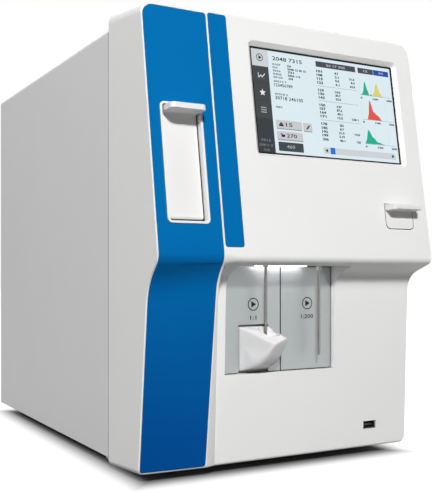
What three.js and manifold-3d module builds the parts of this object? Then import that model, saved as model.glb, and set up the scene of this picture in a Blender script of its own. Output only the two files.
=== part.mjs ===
// Bench-top hematology analyzer: a sheet-metal case on a chassis, a moulded front bezel with a
// sloped face, a chin and a sampling alcove, and the sampling, counting and power units inside.
// Millimetres, +Z up. The front faces -Y and X runs to the right as seen from the front.
// The origin is on the table, under the middle of the footprint.

import * as THREE from 'three';
import Module from 'manifold-3d';
import { mergeVertices } from 'three/addons/utils/BufferGeometryUtils.js';

const wasm = await Module();
wasm.setup();

const degrees = THREE.MathUtils.degToRad;

// Driving dimensions
const width = 290;             // across the bezel
const depth = 460;             // chin to the rear edge of the case
const height = 410;            // table to the top of the bezel
const clearance = 0.3;         // gap between pieces that touch
const runningGap = 0.8;        // gap round pieces that move in an opening
const over = 30;               // how far a cutting tool runs past what it cuts
const leastRound = 0.2;        // smallest radius that an inner corner shrinks to
const sheet = 2;               // folded sheet metal

const frontY = -depth / 2;
const rearY = depth / 2;
const half = width / 2;

// Bezel
const bezelDepth = 98.7;       // chin to the seam with the chassis
const bezelLift = 5;           // its lowest edge above the table
const wall = 3;                // moulded wall
const rearLip = 9;             // inward lip at the seam, beyond the chassis edge
const topCorner = 13;
const bottomCorner = 5;
const faceTopRound = 4;
const lowerEdgeRound = 2.5;
const topTilt = degrees(7);
const faceTilt = degrees(8.87);
const lowerTilt = degrees(1.75);
const bottomTilt = degrees(3.7);
const chinDrop = 220;          // top of the bezel down to the centre of the chin's round
const chinRound = 6;
const underTilt = degrees(22.4);
const coveRound = 20;
const lowerSetback = 36.8;     // chin front to the foot of the lower face
const columnWidth = 63.4;      // the left column that carries the tube door
const columnSlope = 9.6;       // width of its drafted side wall under the chin
const columnChinDrop = 2.8;    // centre of the main chin's round down to the column's sharp chin edge
const columnChinRound = 12;
const columnUnderTilt = degrees(47);
const columnCoveRound = 45;
const columnProud = 4;         // how far its inner edge stands before the lower face at the foot
const columnOuterTilt = degrees(6.1);
const columnInnerTilt = degrees(7);

const chinHeight = height - chinDrop;
const bezelRear = frontY + bezelDepth;
const columnRight = -half + columnWidth;

// Case and chassis
const caseInset = 1.6;         // case side behind the bezel's side
const caseDrop = 14.5;         // top of the bezel down to the top of the case
const caseBottom = 11;
const caseCorner = 5;
const frameStrip = 3;          // chassis strip that shows between bezel and case
const stripDrop = 3;           // how far the strip reaches below the case
const caseTop = height - caseDrop;
const caseHalf = half - caseInset;
const caseInner = caseHalf - sheet;
const frameFront = bezelRear + clearance;
const frameRear = frameFront + frameStrip;
const caseFront = frameRear + clearance;
const chassisHalf = caseInner - clearance;
const chassisTop = caseTop - sheet - clearance;
const rearPanelInset = 4;      // rear panel's front face to the rear edge of the case
const rearPanelFront = rearY - rearPanelInset;
const rearPanelRear = rearPanelFront + sheet;
const baseTop = caseBottom + sheet;

// Counts and faceting
const cornerSteps = 5;
const arcSteps = 6;
const smallSteps = 3;
const fewSteps = 4;
const manySteps = 8;
const roundSides = 24;
const smallSides = 12;
const pipeSides = 16;
const wideSides = 32;

// Materials
const paint = (color, roughness, metalness = 0) => (
  new THREE.MeshStandardMaterial({ color, roughness, metalness })
);
const whitePlastic = paint(0xe9e8e6, 0.45);
const coatedSteel = paint(0xb9b9bb, 0.5, 0.1);
const blueFilm = paint(0x0e6fb8, 0.35);
const blackPlastic = paint(0x17181a, 0.5);
const darkGlass = paint(0x1c2733, 0.12);
const brushedSteel = paint(0xb9bdbd, 0.35, 0.8);
const brightSteel = paint(0xc9cccd, 0.2, 0.95);
const zincSteel = paint(0x9ea2a3, 0.45, 0.7);
const rubber = paint(0x202022, 0.85);
const clearPlastic = paint(0xe8ecec, 0.25);
const boardGreen = paint(0x1f5a36, 0.6);

// Geometry helpers

// A closed geometry as a solid that can be joined and cut
function solid(geometry) {
  const bare = geometry.clone();
  for (const name of Object.keys(bare.attributes)) {
    if (name !== 'position') bare.deleteAttribute(name);
  }
  const merged = mergeVertices(bare);
  return new wasm.Manifold(new wasm.Mesh({
    numProp: 3,
    vertProperties: new Float32Array(merged.attributes.position.array),
    triVerts: new Uint32Array(merged.index.array),
  }));
}

function geometryOf(body) {
  const mesh = body.getMesh();
  const geometry = new THREE.BufferGeometry();
  geometry.setAttribute('position', new THREE.BufferAttribute(mesh.vertProperties, 3));
  geometry.setIndex(new THREE.BufferAttribute(mesh.triVerts, 1));
  return geometry;
}

const join = (first, ...others) => (
  geometryOf(others.reduce((sum, next) => sum.add(solid(next)), solid(first)))
);
const cut = (first, ...tools) => (
  geometryOf(tools.reduce((rest, tool) => rest.subtract(solid(tool)), solid(first)))
);
const common = (first, second) => geometryOf(solid(first).intersect(solid(second)));

// An outline in the two other axes, in x, y, z order, extruded along one axis
const unitX = new THREE.Vector3(1, 0, 0);
const unitY = new THREE.Vector3(0, 1, 0);
const unitZ = new THREE.Vector3(0, 0, 1);
const extrudeBasis = {
  x: new THREE.Matrix4().makeBasis(unitY, unitZ, unitX),
  y: new THREE.Matrix4().makeBasis(unitZ, unitX, unitY),
  z: new THREE.Matrix4(),
};

function prism(axis, outline, from, to, holes = []) {
  const place = ([a, b]) => (axis === 'y' ? new THREE.Vector2(b, a) : new THREE.Vector2(a, b));
  const points = outline.map(place);
  if (THREE.ShapeUtils.isClockWise(points)) points.reverse();
  const shape = new THREE.Shape(points);
  const geometry = new THREE.ExtrudeGeometry(shape, { depth: to - from, bevelEnabled: false });
  geometry.translate(0, 0, from).applyMatrix4(extrudeBasis[axis]);
  if (holes.length === 0) return geometry;
  return cut(geometry, ...holes.map((hole) => prism(axis, hole, from - over, to + over)));
}

function box(x0, x1, y0, y1, z0, z1) {
  const geometry = new THREE.BoxGeometry(x1 - x0, y1 - y0, z1 - z0);
  return geometry.translate((x0 + x1) / 2, (y0 + y1) / 2, (z0 + z1) / 2);
}

function circle(a, b, radius, sides = roundSides) {
  const points = [];
  for (let i = 0; i < sides; i += 1) {
    const angle = (2 * Math.PI * i) / sides;
    points.push([a + radius * Math.cos(angle), b + radius * Math.sin(angle)]);
  }
  return points;
}

const rod = (axis, a, b, radius, from, to, sides = roundSides) => (
  prism(axis, circle(a, b, radius, sides), from, to)
);

// A path of corners [a, b, radius, steps] with each corner rounded by an arc
function rounded(corners, usualSteps = arcSteps) {
  const points = [];
  corners.forEach(([a, b, radius = 0, steps = usualSteps], i) => {
    const corner = new THREE.Vector2(a, b);
    if (radius === 0) {
      points.push([a, b]);
      return;
    }
    const before = corners[(i + corners.length - 1) % corners.length];
    const after = corners[(i + 1) % corners.length];
    const back = new THREE.Vector2(before[0], before[1]).sub(corner).normalize();
    const ahead = new THREE.Vector2(after[0], after[1]).sub(corner).normalize();
    const halfAngle = Math.acos(THREE.MathUtils.clamp(back.dot(ahead), -1, 1)) / 2;
    const start = corner.clone().addScaledVector(back, radius / Math.tan(halfAngle));
    const bisector = back.clone().add(ahead).normalize();
    const centre = corner.clone().addScaledVector(bisector, radius / Math.sin(halfAngle));
    const spoke = start.clone().sub(centre);
    const turn = Math.sign(back.cross(ahead)) * (Math.PI - 2 * halfAngle);
    for (let k = 0; k <= steps; k += 1) {
      const point = spoke.clone().rotateAround(new THREE.Vector2(), (-turn * k) / steps).add(centre);
      points.push([point.x, point.y]);
    }
  });
  return points;
}

function roundedRect(a0, a1, b0, b1, radius, steps = arcSteps) {
  return rounded([[a0, b0, radius], [a1, b0, radius], [a1, b1, radius], [a0, b1, radius]], steps);
}

const rect = (a0, a1, b0, b1) => [[a0, b0], [a1, b0], [a1, b1], [a0, b1]];

// A skin over closed outlines [y, z] with equal counts, listed from left to right in X
function loft(sections) {
  const count = sections[0].outline.length;
  const positions = sections.flatMap(({ x, outline }) => outline.flatMap(([y, z]) => [x, y, z]));
  const index = [];
  for (let s = 0; s + 1 < sections.length; s += 1) {
    for (let i = 0; i < count; i += 1) {
      const a = s * count + i;
      const b = s * count + ((i + 1) % count);
      index.push(a, b, b + count, a, b + count, a + count);
    }
  }
  const capOf = ({ outline }) => {
    const points = outline.map(([y, z]) => new THREE.Vector2(y, z));
    return THREE.ShapeUtils.triangulateShape(points, []);
  };
  const last = (sections.length - 1) * count;
  capOf(sections[0]).forEach(([a, b, c]) => index.push(a, c, b));
  capOf(sections[sections.length - 1]).forEach(([a, b, c]) => index.push(last + a, last + b, last + c));
  const geometry = new THREE.BufferGeometry();
  geometry.setAttribute('position', new THREE.BufferAttribute(new Float32Array(positions), 3));
  geometry.setIndex(index);
  return geometry;
}

// A profile [radius, height] turned about an upright axis at x, y
function turned(profile, x, y, sides = roundSides) {
  const geometry = new THREE.LatheGeometry(profile.map(([r, h]) => new THREE.Vector2(r, h)), sides);
  return geometry.rotateX(Math.PI / 2).translate(x, y, 0);
}

// The same, turned about an axis along Y that meets x and z
function turnedAlongY(profile, x, z, sides = roundSides) {
  const geometry = new THREE.LatheGeometry(profile.map(([r, h]) => new THREE.Vector2(r, h)), sides);
  return geometry.translate(x, 0, z);
}

// Scene graph: the chassis frame of reference, and one turned onto the sloped face
const analyzer = new THREE.Group();
const faceGroup = new THREE.Group();
analyzer.add(faceGroup);

function add(name, geometry, material, parent = analyzer) {
  const mesh = new THREE.Mesh(geometry, material);
  mesh.name = name;
  parent.add(mesh);
  return mesh;
}

// Bezel outline: straight lines in the Y-Z plane, [point y, point z, angle of travel]
const unitAt = (angle) => [Math.cos(angle), Math.sin(angle)];

function meet([y1, z1, a1], [y2, z2, a2]) {
  const [c1, s1] = unitAt(a1);
  const [c2, s2] = unitAt(a2);
  const t = ((y2 - y1) * s2 - (z2 - z1) * c2) / (c1 * s2 - s1 * c2);
  return [y1 + t * c1, z1 + t * s1];
}

// Moves a line to the left of its travel, which is into the body here
function inward([y, z, angle], distance) {
  return [y - distance * Math.sin(angle), z + distance * Math.cos(angle), angle];
}

// The outline runs over the top towards the front, down the face, back under the chin and down
const topAngle = Math.PI + topTilt;
const faceAngle = 1.5 * Math.PI - faceTilt;
const underAngle = 2 * Math.PI - underTilt;
const columnUnderAngle = 2 * Math.PI - columnUnderTilt;
const bottomAngle = 2 * Math.PI - bottomTilt;

const chinCentre = [frontY + chinRound, chinHeight];
const awayFrom = ([y, z], angle, distance) => [
  y + distance * Math.sin(angle),
  z - distance * Math.cos(angle),
];
const faceLine = [...awayFrom(chinCentre, faceAngle, chinRound), faceAngle];
const underLine = [...awayFrom(chinCentre, underAngle, chinRound), underAngle];
const topLine = (drop) => [bezelRear, height - drop, topAngle];
const bottomLine = (rise) => [bezelRear, bezelLift + rise, bottomAngle];
const lowerLine = (proud, tilt) => [frontY + lowerSetback - proud, bezelLift, 1.5 * Math.PI + tilt];
const level = (z) => [frontY, z, 0];
const columnChin = meet(faceLine, level(chinHeight - columnChinDrop));
const faceY = (z) => meet(faceLine, level(z))[0];
const lowerY = (z) => meet(lowerLine(0, lowerTilt), level(z))[0];

function bezelOutline({ column, share, drop, rise, inset, rear }) {
  const proud = column ? columnProud * share : 0;
  const tilt = column ? THREE.MathUtils.lerp(columnOuterTilt, columnInnerTilt, share) : lowerTilt;
  const under = column ? [...columnChin, columnUnderAngle] : underLine;
  const lines = [topLine(drop), faceLine, under, lowerLine(proud, tilt), bottomLine(rise)];
  const [top, face, chin, lower, bottom] = lines.map((line) => inward(line, inset));
  const shrink = (radius) => Math.max(radius - inset, leastRound);
  return rounded([
    [rear, meet(top, [rear, 0, Math.PI / 2])[1]],
    [...meet(top, face), shrink(faceTopRound), smallSteps],
    [...meet(face, chin), shrink(column ? columnChinRound : chinRound)],
    [...meet(chin, lower), (column ? columnCoveRound : coveRound) + inset],
    [...meet(lower, bottom), shrink(lowerEdgeRound), smallSteps],
    [rear, meet(bottom, [rear, 0, Math.PI / 2])[1]],
  ]);
}

// The whole bezel body, moved inward by an inset, from the face to a rear plane
function bezelBody(inset, rear) {
  const side = half - inset;
  const round = Math.max(topCorner - inset, leastRound);
  const foot = Math.max(bottomCorner - inset, leastRound);
  const corners = [];
  for (let i = 0; i <= cornerSteps; i += 1) {
    const angle = ((Math.PI / 2) * i) / cornerSteps;
    const fromSide = round * (1 - Math.cos(angle));
    const short = Math.max(foot - fromSide, 0);
    corners.push({
      x: side - fromSide,
      drop: round * (1 - Math.sin(angle)),
      rise: foot - Math.sqrt(foot * foot - short * short),
    });
  }
  const shareAt = (x) => (x + half) / columnWidth;
  const at = (x, column, { drop, rise }) => ({
    x,
    outline: bezelOutline({ column, share: shareAt(x), drop, rise, inset, rear }),
  });
  const flat = { drop: 0, rise: 0 };
  const left = corners.map((corner) => at(-corner.x, true, corner));
  const right = corners.map((corner) => at(corner.x, false, corner)).reverse();
  const stepLeft = columnRight - inset / 2;
  return loft([...left, at(stepLeft, true, flat), at(stepLeft + columnSlope, false, flat), ...right]);
}

// Frame of the sloped face: its origin is the sharp top edge, y goes in behind the face and
// z goes up the slope
const [faceTopY, faceTopZ] = meet(topLine(0), faceLine);
faceGroup.position.set(0, faceTopY, faceTopZ);
faceGroup.rotation.x = -faceTilt;
faceGroup.updateMatrix();
const onFace = (geometry) => geometry.clone().applyMatrix4(faceGroup.matrix);

// Blue overlays
const overlay = {
  thick: 0.8, sunk: 0.1, pocket: 1.2, rim: 1.7, separator: 2.2, top: 4, foot: 6, round: 10, smallRound: 2.5,
};
const strip = { width: 18.1, top: 3, bottom: 206.7 };
const mainPanel = {
  left: -half + overlay.rim,
  right: columnRight - overlay.separator,
  top: faceTopZ - overlay.top,
  bottom: bezelLift + overlay.foot,
};

function mainPanelMask(grow) {
  const { left, right, top, bottom } = mainPanel;
  const outline = rounded([
    [left - grow, bottom - grow, overlay.smallRound],
    [right + grow, bottom - grow, overlay.smallRound],
    [right + grow, top + grow, overlay.smallRound],
    [left - grow, top + grow, overlay.round],
  ]);
  return prism('y', outline, frontY - over, frontY + lowerSetback + over / 2);
}

const bezelSkin = (from, to) => cut(bezelBody(from, bezelRear + over), bezelBody(to, bezelRear + 2 * over));

const stripBox = (grow, from, to) => {
  const left = columnRight - grow;
  const right = columnRight + strip.width + grow;
  const outline = roundedRect(left, right, -strip.bottom - grow, -strip.top + grow, overlay.smallRound);
  return prism('y', outline, from, to);
};

// Touch screen in its bevelled recess, in the frame of the face
const screen = {
  inset: 39.1, margin: 17.5, top: 21.5, bottom: 126.5, recess: 4, bevel: 4, cornerRound: 5,
  surround: 5, glassLap: 3, glass: 2, moduleInset: 1.5, module: 8.4, bracket: 1.5, bracketSide: 2.2,
};
screen.left = columnRight + screen.inset;
screen.right = half - screen.margin;
const screenHole = {
  left: screen.left + screen.bevel,
  right: screen.right - screen.bevel,
  top: screen.top + screen.bevel,
  bottom: screen.bottom - screen.bevel,
};

// Recess with sloping walls and rounded corners, narrower towards the glass
function screenRecess() {
  const { left, right, top, bottom, recess, cornerRound } = screen;
  const outer = roundedRect(left, right, -bottom, -top, cornerRound, smallSteps);
  const inner = roundedRect(screenHole.left, screenHole.right, -screenHole.bottom, -screenHole.top,
    leastRound, smallSteps);
  const ring = (depthIn) => outer.map(([x, z], i) => [
    THREE.MathUtils.lerp(x, inner[i][0], depthIn / recess), depthIn,
    THREE.MathUtils.lerp(z, inner[i][1], depthIn / recess),
  ]);
  const points = [...ring(-recess), ...ring(recess + clearance)];
  const count = outer.length;
  const index = [];
  for (let i = 0; i < count; i += 1) {
    const j = (i + 1) % count;
    index.push(i, i + count, j + count, i, j + count, j);
    if (i > 0 && j > 0) index.push(0, i, j, count, j + count, i + count);
  }
  const geometry = new THREE.BufferGeometry();
  geometry.setAttribute('position', new THREE.BufferAttribute(new Float32Array(points.flat()), 3));
  geometry.setIndex(index);
  return geometry;
}

// Tube door, in the frame of the face
const door = {
  inset: 32.5, frameWidth: 39, frameTop: 87, frameBottom: 188, frameRound: 4, rim: 2, proud: 0.8,
  leafWidth: 32.6, recess: 5, leafThick: 2.5, barrel: 3, pin: 1.25, bottomGap: 2.2,
  lipReach: 15, lipTop: 92, lipThick: 4.6, lipRise: 2.3, lipRound: 4, lipFillet: 1.5,
  holderGap: 16, holderLength: 57, holderWidth: 22, tubeBore: 7, tubeDepth: 26, window: 6.5,
};
door.centre = columnRight - door.inset;
const doorInner = door.frameWidth / 2 - door.rim;
const hingeDrop = door.frameBottom - door.rim - door.bottomGap;        // foot of the leaf down the slope
const hingeZ = -(hingeDrop - door.barrel);
const hingeDepth = door.recess + door.barrel;
const leafTop = door.lipTop - door.lipRise;    // the lip lies level, so on the sloped face its root is higher
const leafBack = door.recess + door.leafThick;
const holderBack = door.tubeDepth + door.holderWidth / 2;
const housingDepth = holderBack + door.rim * 2;

// Micro-tube drawer, on the axes of the case
const drawer = {
  margin: 51, width: 32.8, chinGap: 27.7, height: 22.4, lipRise: 17.2, lipReach: 14.5, lipRound: 2.2,
  rootRise: 16.7, lipFillet: 1, footRound: 4.5, block: 20, wall: 2, trayHeight: 13.8,
  length: 62, guideWall: 2, guideSetback: 7, adapter: 11, adapterWell: 5.8, adapterHeight: 15,
};
drawer.left = half - drawer.margin;
drawer.bottom = chinHeight + drawer.chinGap;
drawer.top = drawer.bottom + drawer.height;
drawer.lipBottom = drawer.bottom + drawer.lipRise;
drawer.lipRoot = drawer.bottom + drawer.rootRise;
drawer.trayTop = drawer.bottom + drawer.trayHeight;
const drawerRight = drawer.left + drawer.width;
const drawerFace = faceY(drawer.lipRoot);
const drawerLip = faceY((drawer.top + drawer.lipBottom) / 2) - drawer.lipReach;
const drawerOutline = (grow) => rounded([
  [drawer.left - grow, drawer.bottom - grow, drawer.footRound],
  [drawerRight + grow, drawer.bottom - grow, drawer.footRound],
  [drawerRight + grow, drawer.top + grow, 0],
  [drawer.left - grow, drawer.top + grow, 0],
], fewSteps);
const portTip = -drawerLip;    // the hose ports stand out behind as far as the lip does in front

// Sampling alcove
const alcove = {
  inset: 18.4, width: 118.6, height: 95.3, chinGap: 7.5, cheek: 2.5, plateSetback: 1.8, carrierGap: 9,
};
alcove.left = columnRight + alcove.inset;
alcove.right = alcove.left + alcove.width;
alcove.top = chinHeight - alcove.chinGap;
alcove.bottom = alcove.top - alcove.height;
const plate = {
  thick: 2.5, seam: 1.4, seamInset: 60.9, stroke: 2, stem: 3, stemInset: 12, stemRise: 62.8, boss: 3,
  bossLength: 2.5, overrun: 6,
};
plate.stemZ = alcove.bottom + plate.stemRise;
const plateFront = lowerY(alcove.bottom) + alcove.plateSetback * 2;
const plateBack = plateFront + plate.thick;
const carrierFront = plateBack + alcove.carrierGap;
const carrierBack = carrierFront + sheet;
const cheekBack = carrierFront - clearance;
const ceilingTop = alcove.top + alcove.cheek;
const seamX = alcove.left + plate.seamInset;
const cup = {
  inset: 17.1, width: 29.8, gap: 2.4, backHeight: 39, leftHeight: 19.4, rightHeight: 30.4, reach: 31.5,
  nose: 15.5, noseRound: 9, spoutRound: 1.5, bellyForward: 0.72, bellyRise: 0.32, notchGap: 1.8,
  dish: 15, dishDepth: 3, dishShare: 0.66,
};
cup.left = alcove.left + cup.inset;
cup.right = cup.left + cup.width;
cup.bottom = alcove.bottom + cup.gap;
cup.backTop = cup.bottom + cup.backHeight;
cup.rimLeft = cup.bottom + cup.leftHeight;
cup.rimRight = cup.bottom + cup.rightHeight;
cup.notchTop = cup.backTop + cup.notchGap;
const cupFront = plateFront - cup.reach;
const needle = {
  setback: 25, leftInset: 24.3, rightInset: 33.7, leftRise: 34.2, rightRise: 14.3, radius: 1.3, cone: 5,
  headRadius: 3.5, headHeight: 1.5, tipShare: 0.8,
};
needle.y = frontY + needle.setback;
needle.leftX = seamX - needle.leftInset;
needle.rightX = seamX + needle.rightInset;
needle.leftTip = alcove.bottom + needle.leftRise;
needle.rightTip = alcove.bottom + needle.rightRise;
const collar = { radius: 2.6, bore: 1.7, dropLeft: 1, dropRight: 4.2 };
const lightBar = { inset: 31.2, width: 54, front: 6.4, thick: 3 };
lightBar.left = alcove.left + lightBar.inset;
lightBar.right = lightBar.left + lightBar.width;

// Needle drives, behind the alcove
const drive = {
  armGap: 1.2, arm: 6, armHalf: 5, blockHeight: 14, blockHalf: 8, rodOffset: 22, rod: 3, rodMargin: 6,
  screw: 2.5, screwFoot: 45, motor: 28, motorHeight: 32, bracket: 3, footRise: 7.8, topRise: 109.5,
  bracketOuter: 30, earReach: 31, topEarReach: 24,
};
drive.bracketFoot = alcove.bottom + drive.footRise;
drive.bracketTop = alcove.top + drive.topRise;
const armBottom = ceilingTop + drive.armGap;
const bracketBack = frameFront - clearance;
const bracketFront = bracketBack - drive.bracket;
const screwY = bracketFront - clearance - drive.motor / 2;

// Socket in the lower face
const usb = {
  sideInset: 52, width: 15, bottom: 26.5, height: 7, shell: 0.7, depth: 15, board: 1.6, margin: 7, post: 2.2,
};
usb.left = half - usb.sideInset;
const usbFront = lowerY(usb.bottom) + wall / 2;
const usbBoardFront = usbFront + usb.depth - usb.shell / 2;

// Front bezel: a moulded shell with the openings cut through and their surrounds joined on
function frontBezel() {
  const outer = bezelBody(0, bezelRear);
  const alcoveBlock = box(alcove.left - alcove.cheek, alcove.right + alcove.cheek, frontY - over, cheekBack,
    alcove.bottom - alcove.cheek, ceilingTop);
  const alcoveHole = box(alcove.left, alcove.right, frontY - over, cheekBack + over, alcove.bottom,
    alcove.top);
  const surround = onFace(box(screen.left - screen.surround, screen.right + screen.surround, -over,
    screen.recess, -screen.bottom - screen.surround, -screen.top + screen.surround));
  const doorHole = onFace(prism('y', roundedRect(
    door.centre - door.frameWidth / 2 - clearance, door.centre + door.frameWidth / 2 + clearance,
    -door.frameBottom - clearance, -door.frameTop + clearance, door.frameRound,
  ), -over, over));
  const drawerHole = prism('y', drawerOutline(runningGap), frontY - over, drawerFace + over / 2);
  const usbHole = box(usb.left - clearance, usb.left + usb.width + clearance, frontY, usbFront + over,
    usb.bottom - clearance, usb.bottom + usb.height + clearance);
  const posts = [usb.left - usb.margin / 2, usb.left + usb.width + usb.margin / 2].map((x) => rod(
    'y', x, usb.bottom + usb.height + usb.margin / 2, usb.post, usbFront, usbBoardFront - clearance,
    smallSides,
  ));
  const collarHoles = [needle.leftX, needle.rightX].map((x) => rod(
    'z', x, needle.y, collar.radius + clearance, alcove.top - alcove.cheek, ceilingTop + alcove.cheek,
    roundSides,
  ));
  const lightSlot = box(lightBar.left - clearance, lightBar.right + clearance, lightFront - clearance,
    lightFront + lightBar.thick + clearance, alcove.top - over / 2, ceilingTop + over / 2);
  const shell = cut(outer, bezelBody(wall, bezelRear - wall), prism('y', rect(
    -chassisHalf + rearLip, chassisHalf - rearLip, caseBottom + rearLip, chassisTop - rearLip,
  ), bezelRear - 2 * wall, bezelRear + over));
  const walls = join(shell, common(outer, join(alcoveBlock, surround)), ...posts);
  const panelPocket = common(bezelSkin(-over / 2, overlay.pocket), mainPanelMask(clearance));
  const stripPocket = onFace(stripBox(clearance, -over, overlay.pocket));
  return cut(walls, alcoveHole, onFace(screenRecess()), doorHole, drawerHole, usbHole, lightSlot,
    panelPocket, stripPocket, ...collarHoles);
}

const lightFront = plateFront - lightBar.front;
const doorOutline = (grow, round) => roundedRect(
  door.centre - door.frameWidth / 2 + grow, door.centre + door.frameWidth / 2 - grow,
  -door.frameBottom + grow, -door.frameTop - grow, round,
);

function bluePanelMain() {
  const doorRoom = onFace(prism('y', doorOutline(-clearance, door.frameRound), -over, over));
  const film = bezelSkin(overlay.sunk, overlay.sunk + overlay.thick);
  return cut(common(film, mainPanelMask(0)), doorRoom);
}

add('front_bezel', frontBezel(), whitePlastic);
add('blue_panel_main', bluePanelMain(), blueFilm);
add('blue_panel_side', stripBox(0, overlay.sunk, overlay.sunk + overlay.thick), blueFilm, faceGroup);

// Screen stack
function screenParts() {
  const glassFront = screen.recess + clearance;
  const glassBack = glassFront + screen.glass;
  const moduleFront = glassBack + clearance;
  const moduleBack = moduleFront + screen.module;
  const bracketFace = moduleBack + clearance;
  const lap = screen.glassLap;
  const inset = screen.moduleInset;
  const sideOut = screen.surround;
  add('touch_glass', prism('y', roundedRect(screen.left - lap + sheet, screen.right, -screen.bottom - lap / 2,
    -screen.top - lap / 2, sheet), glassFront, glassBack), darkGlass, faceGroup);
  add('lcd_module', box(screenHole.left - inset, screenHole.right + inset, moduleFront, moduleBack,
    -screenHole.bottom - inset, -screenHole.top + inset), blackPlastic, faceGroup);
  const left = screen.left - sideOut;
  const right = screen.right + sideOut;
  const shelf = box(left, right, bracketFace, bracketFace + screen.bracket, -screenHole.bottom,
    -screenHole.top);
  const legs = [[left, left + screen.bracketSide], [right - screen.bracketSide, right]].map(([x0, x1]) => box(
    x0, x1, glassFront, bracketFace + screen.bracket, -screenHole.bottom, -screenHole.top,
  ));
  add('lcd_bracket', join(shelf, ...legs), zincSteel, faceGroup);
}
screenParts();

// Tube door: a deep moulded housing, a leaf hinged at its foot and a tube holder on the leaf's back
const piercer = {
  bore: 3, radius: 1.1, tipGap: 0.6, length: 25, cone: 5, stroke: 17, block: 10, blockHalf: 8,
  guide: 3, guideHalf: 13, guideLength: 48, blockFront: 20, motor: 20, motorDrop: 18,
};

function doorHousing() {
  const shell = prism('y', doorOutline(0, door.frameRound), -door.proud, housingDepth);
  const room = prism('y', doorOutline(door.rim, door.frameRound - door.rim), -over, housingDepth - door.rim);
  const needleHole = rod('z', door.centre, door.tubeDepth, piercer.bore, -door.frameBottom - over / 2,
    -door.frameBottom + over / 2, smallSides);
  return cut(shell, room, needleHole);
}

function doorLeaf() {
  const outline = rounded([
    [-door.lipReach, -door.lipTop, 0],
    [-door.lipReach, -door.lipTop - door.lipThick, 0],
    [door.recess, -leafTop - door.lipThick, door.lipFillet],
    [door.recess, hingeZ, 0],
    [leafBack, hingeZ, 0],
    [leafBack, -leafTop, 0],
  ]);
  const left = door.centre - door.leafWidth / 2;
  const right = door.centre + door.leafWidth / 2;
  const body = prism('x', outline, left, right);
  const plan = rounded([
    [left, over, 0],
    [left, -door.lipReach, door.lipRound],
    [right, -door.lipReach, door.lipRound],
    [right, over, 0],
  ]);
  const trimmed = common(body, prism('z', plan, hingeZ - over, -leafTop + over));
  const barrel = rod('x', hingeDepth, hingeZ, door.barrel, left, right);
  const bore = rod('x', hingeDepth, hingeZ, door.pin + clearance, left - over, right + over, smallSides);
  return cut(join(trimmed, barrel), bore);
}

function tubeHolder() {
  const side = door.holderWidth / 2;
  const front = leafBack + clearance;
  const arch = [[door.centre - side, front], [door.centre + side, front],
    [door.centre + side, door.tubeDepth]];
  for (let i = 1; i <= smallSides; i += 1) {
    const angle = (Math.PI * i) / smallSides;
    arch.push([door.centre + side * Math.cos(angle), door.tubeDepth + side * Math.sin(angle)]);
  }
  const windowHalf = side - door.rim;
  const bore = circle(door.centre, door.tubeDepth, door.tubeBore);
  const opening = rect(door.centre - windowHalf, door.centre + windowHalf, front + door.rim,
    front + door.rim + door.window);
  const top = -door.lipTop - door.holderGap;
  return prism('z', arch, top - door.holderLength, top, [bore, opening]);
}

add('door_housing', doorHousing(), whitePlastic, faceGroup);
add('door_leaf', doorLeaf(), whitePlastic, faceGroup);
add('door_tube_holder', tubeHolder(), whitePlastic, faceGroup);
add('door_hinge_pin', rod('x', hingeDepth, hingeZ, door.pin, door.centre - doorInner + clearance,
  door.centre + doorInner - clearance, smallSides), brightSteel, faceGroup);

// Piercing needle below the door housing, on a guide with its own motor
function piercerParts() {
  const tip = -door.frameBottom - piercer.tipGap;
  const tail = tip - piercer.length;
  const guideFront = housingDepth - piercer.guide - clearance;
  const profile = [[0, tail], [piercer.radius, tail], [piercer.radius, tip - piercer.cone], [0, tip]];
  add('piercing_needle', turned(profile, door.centre, door.tubeDepth, smallSides), brightSteel, faceGroup);
  const blockTop = tail - clearance;
  add('piercer_block', box(door.centre - piercer.blockHalf, door.centre + piercer.blockHalf,
    piercer.blockFront,
    guideFront - clearance, blockTop - piercer.block, blockTop), whitePlastic, faceGroup);
  const guideTop = -door.frameBottom - clearance;
  add('piercer_guide', box(door.centre - piercer.guideHalf, door.centre + piercer.guideHalf, guideFront,
    guideFront + piercer.guide, guideTop - piercer.guideLength, guideTop), zincSteel, faceGroup);
  const motorFront = guideFront + piercer.guide + clearance;
  const motorTop = guideTop - piercer.motorDrop;
  add('piercer_motor', roundedBlock(door.centre - piercer.motor / 2, door.centre + piercer.motor / 2,
    motorFront,
    motorFront + piercer.motor, motorTop - piercer.motor, motorTop, sheet), blackPlastic, faceGroup);
}

// A block whose upright edges are rounded
function roundedBlock(x0, x1, y0, y1, z0, z1, radius) {
  return prism('z', roundedRect(x0, x1, y0, y1, radius, smallSteps), z0, z1);
}
piercerParts();

// Drawer: a front block with a finger lip, and an open tray behind it
function sampleDrawer() {
  const rear = drawerFace + drawer.block;
  const outline = rounded([
    [rear, drawer.top, 0],
    [drawerLip, drawer.top, drawer.lipRound],
    [drawerLip, drawer.lipBottom, drawer.lipRound / 2],
    [drawerFace, drawer.lipRoot, drawer.lipFillet],
    [faceY(drawer.bottom), drawer.bottom, 0],
    [rear, drawer.bottom, 0],
  ], fewSteps);
  const { left } = drawer;
  const plan = rounded([
    [left, rear, 0],
    [left, drawerLip, drawer.lipRound],
    [drawerRight, drawerLip, drawer.lipRound],
    [drawerRight, rear, 0],
  ], fewSteps);
  const front = common(
    common(prism('x', outline, left, drawerRight),
      prism('y', drawerOutline(0), drawerLip - over, rear + over)),
    prism('z', plan, drawer.bottom - over, drawer.top + over),
  );
  const tray = common(
    box(left, drawerRight, rear, drawerFace + drawer.length, drawer.bottom, drawer.trayTop),
    prism('y', drawerOutline(0), rear - over, drawerFace + drawer.length + over),
  );
  const room = box(left + drawer.wall, drawerRight - drawer.wall, rear + drawer.wall,
    drawerFace + drawer.length - drawer.wall, drawer.bottom + drawer.wall, drawer.top);
  return join(front, cut(tray, room));
}

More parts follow.
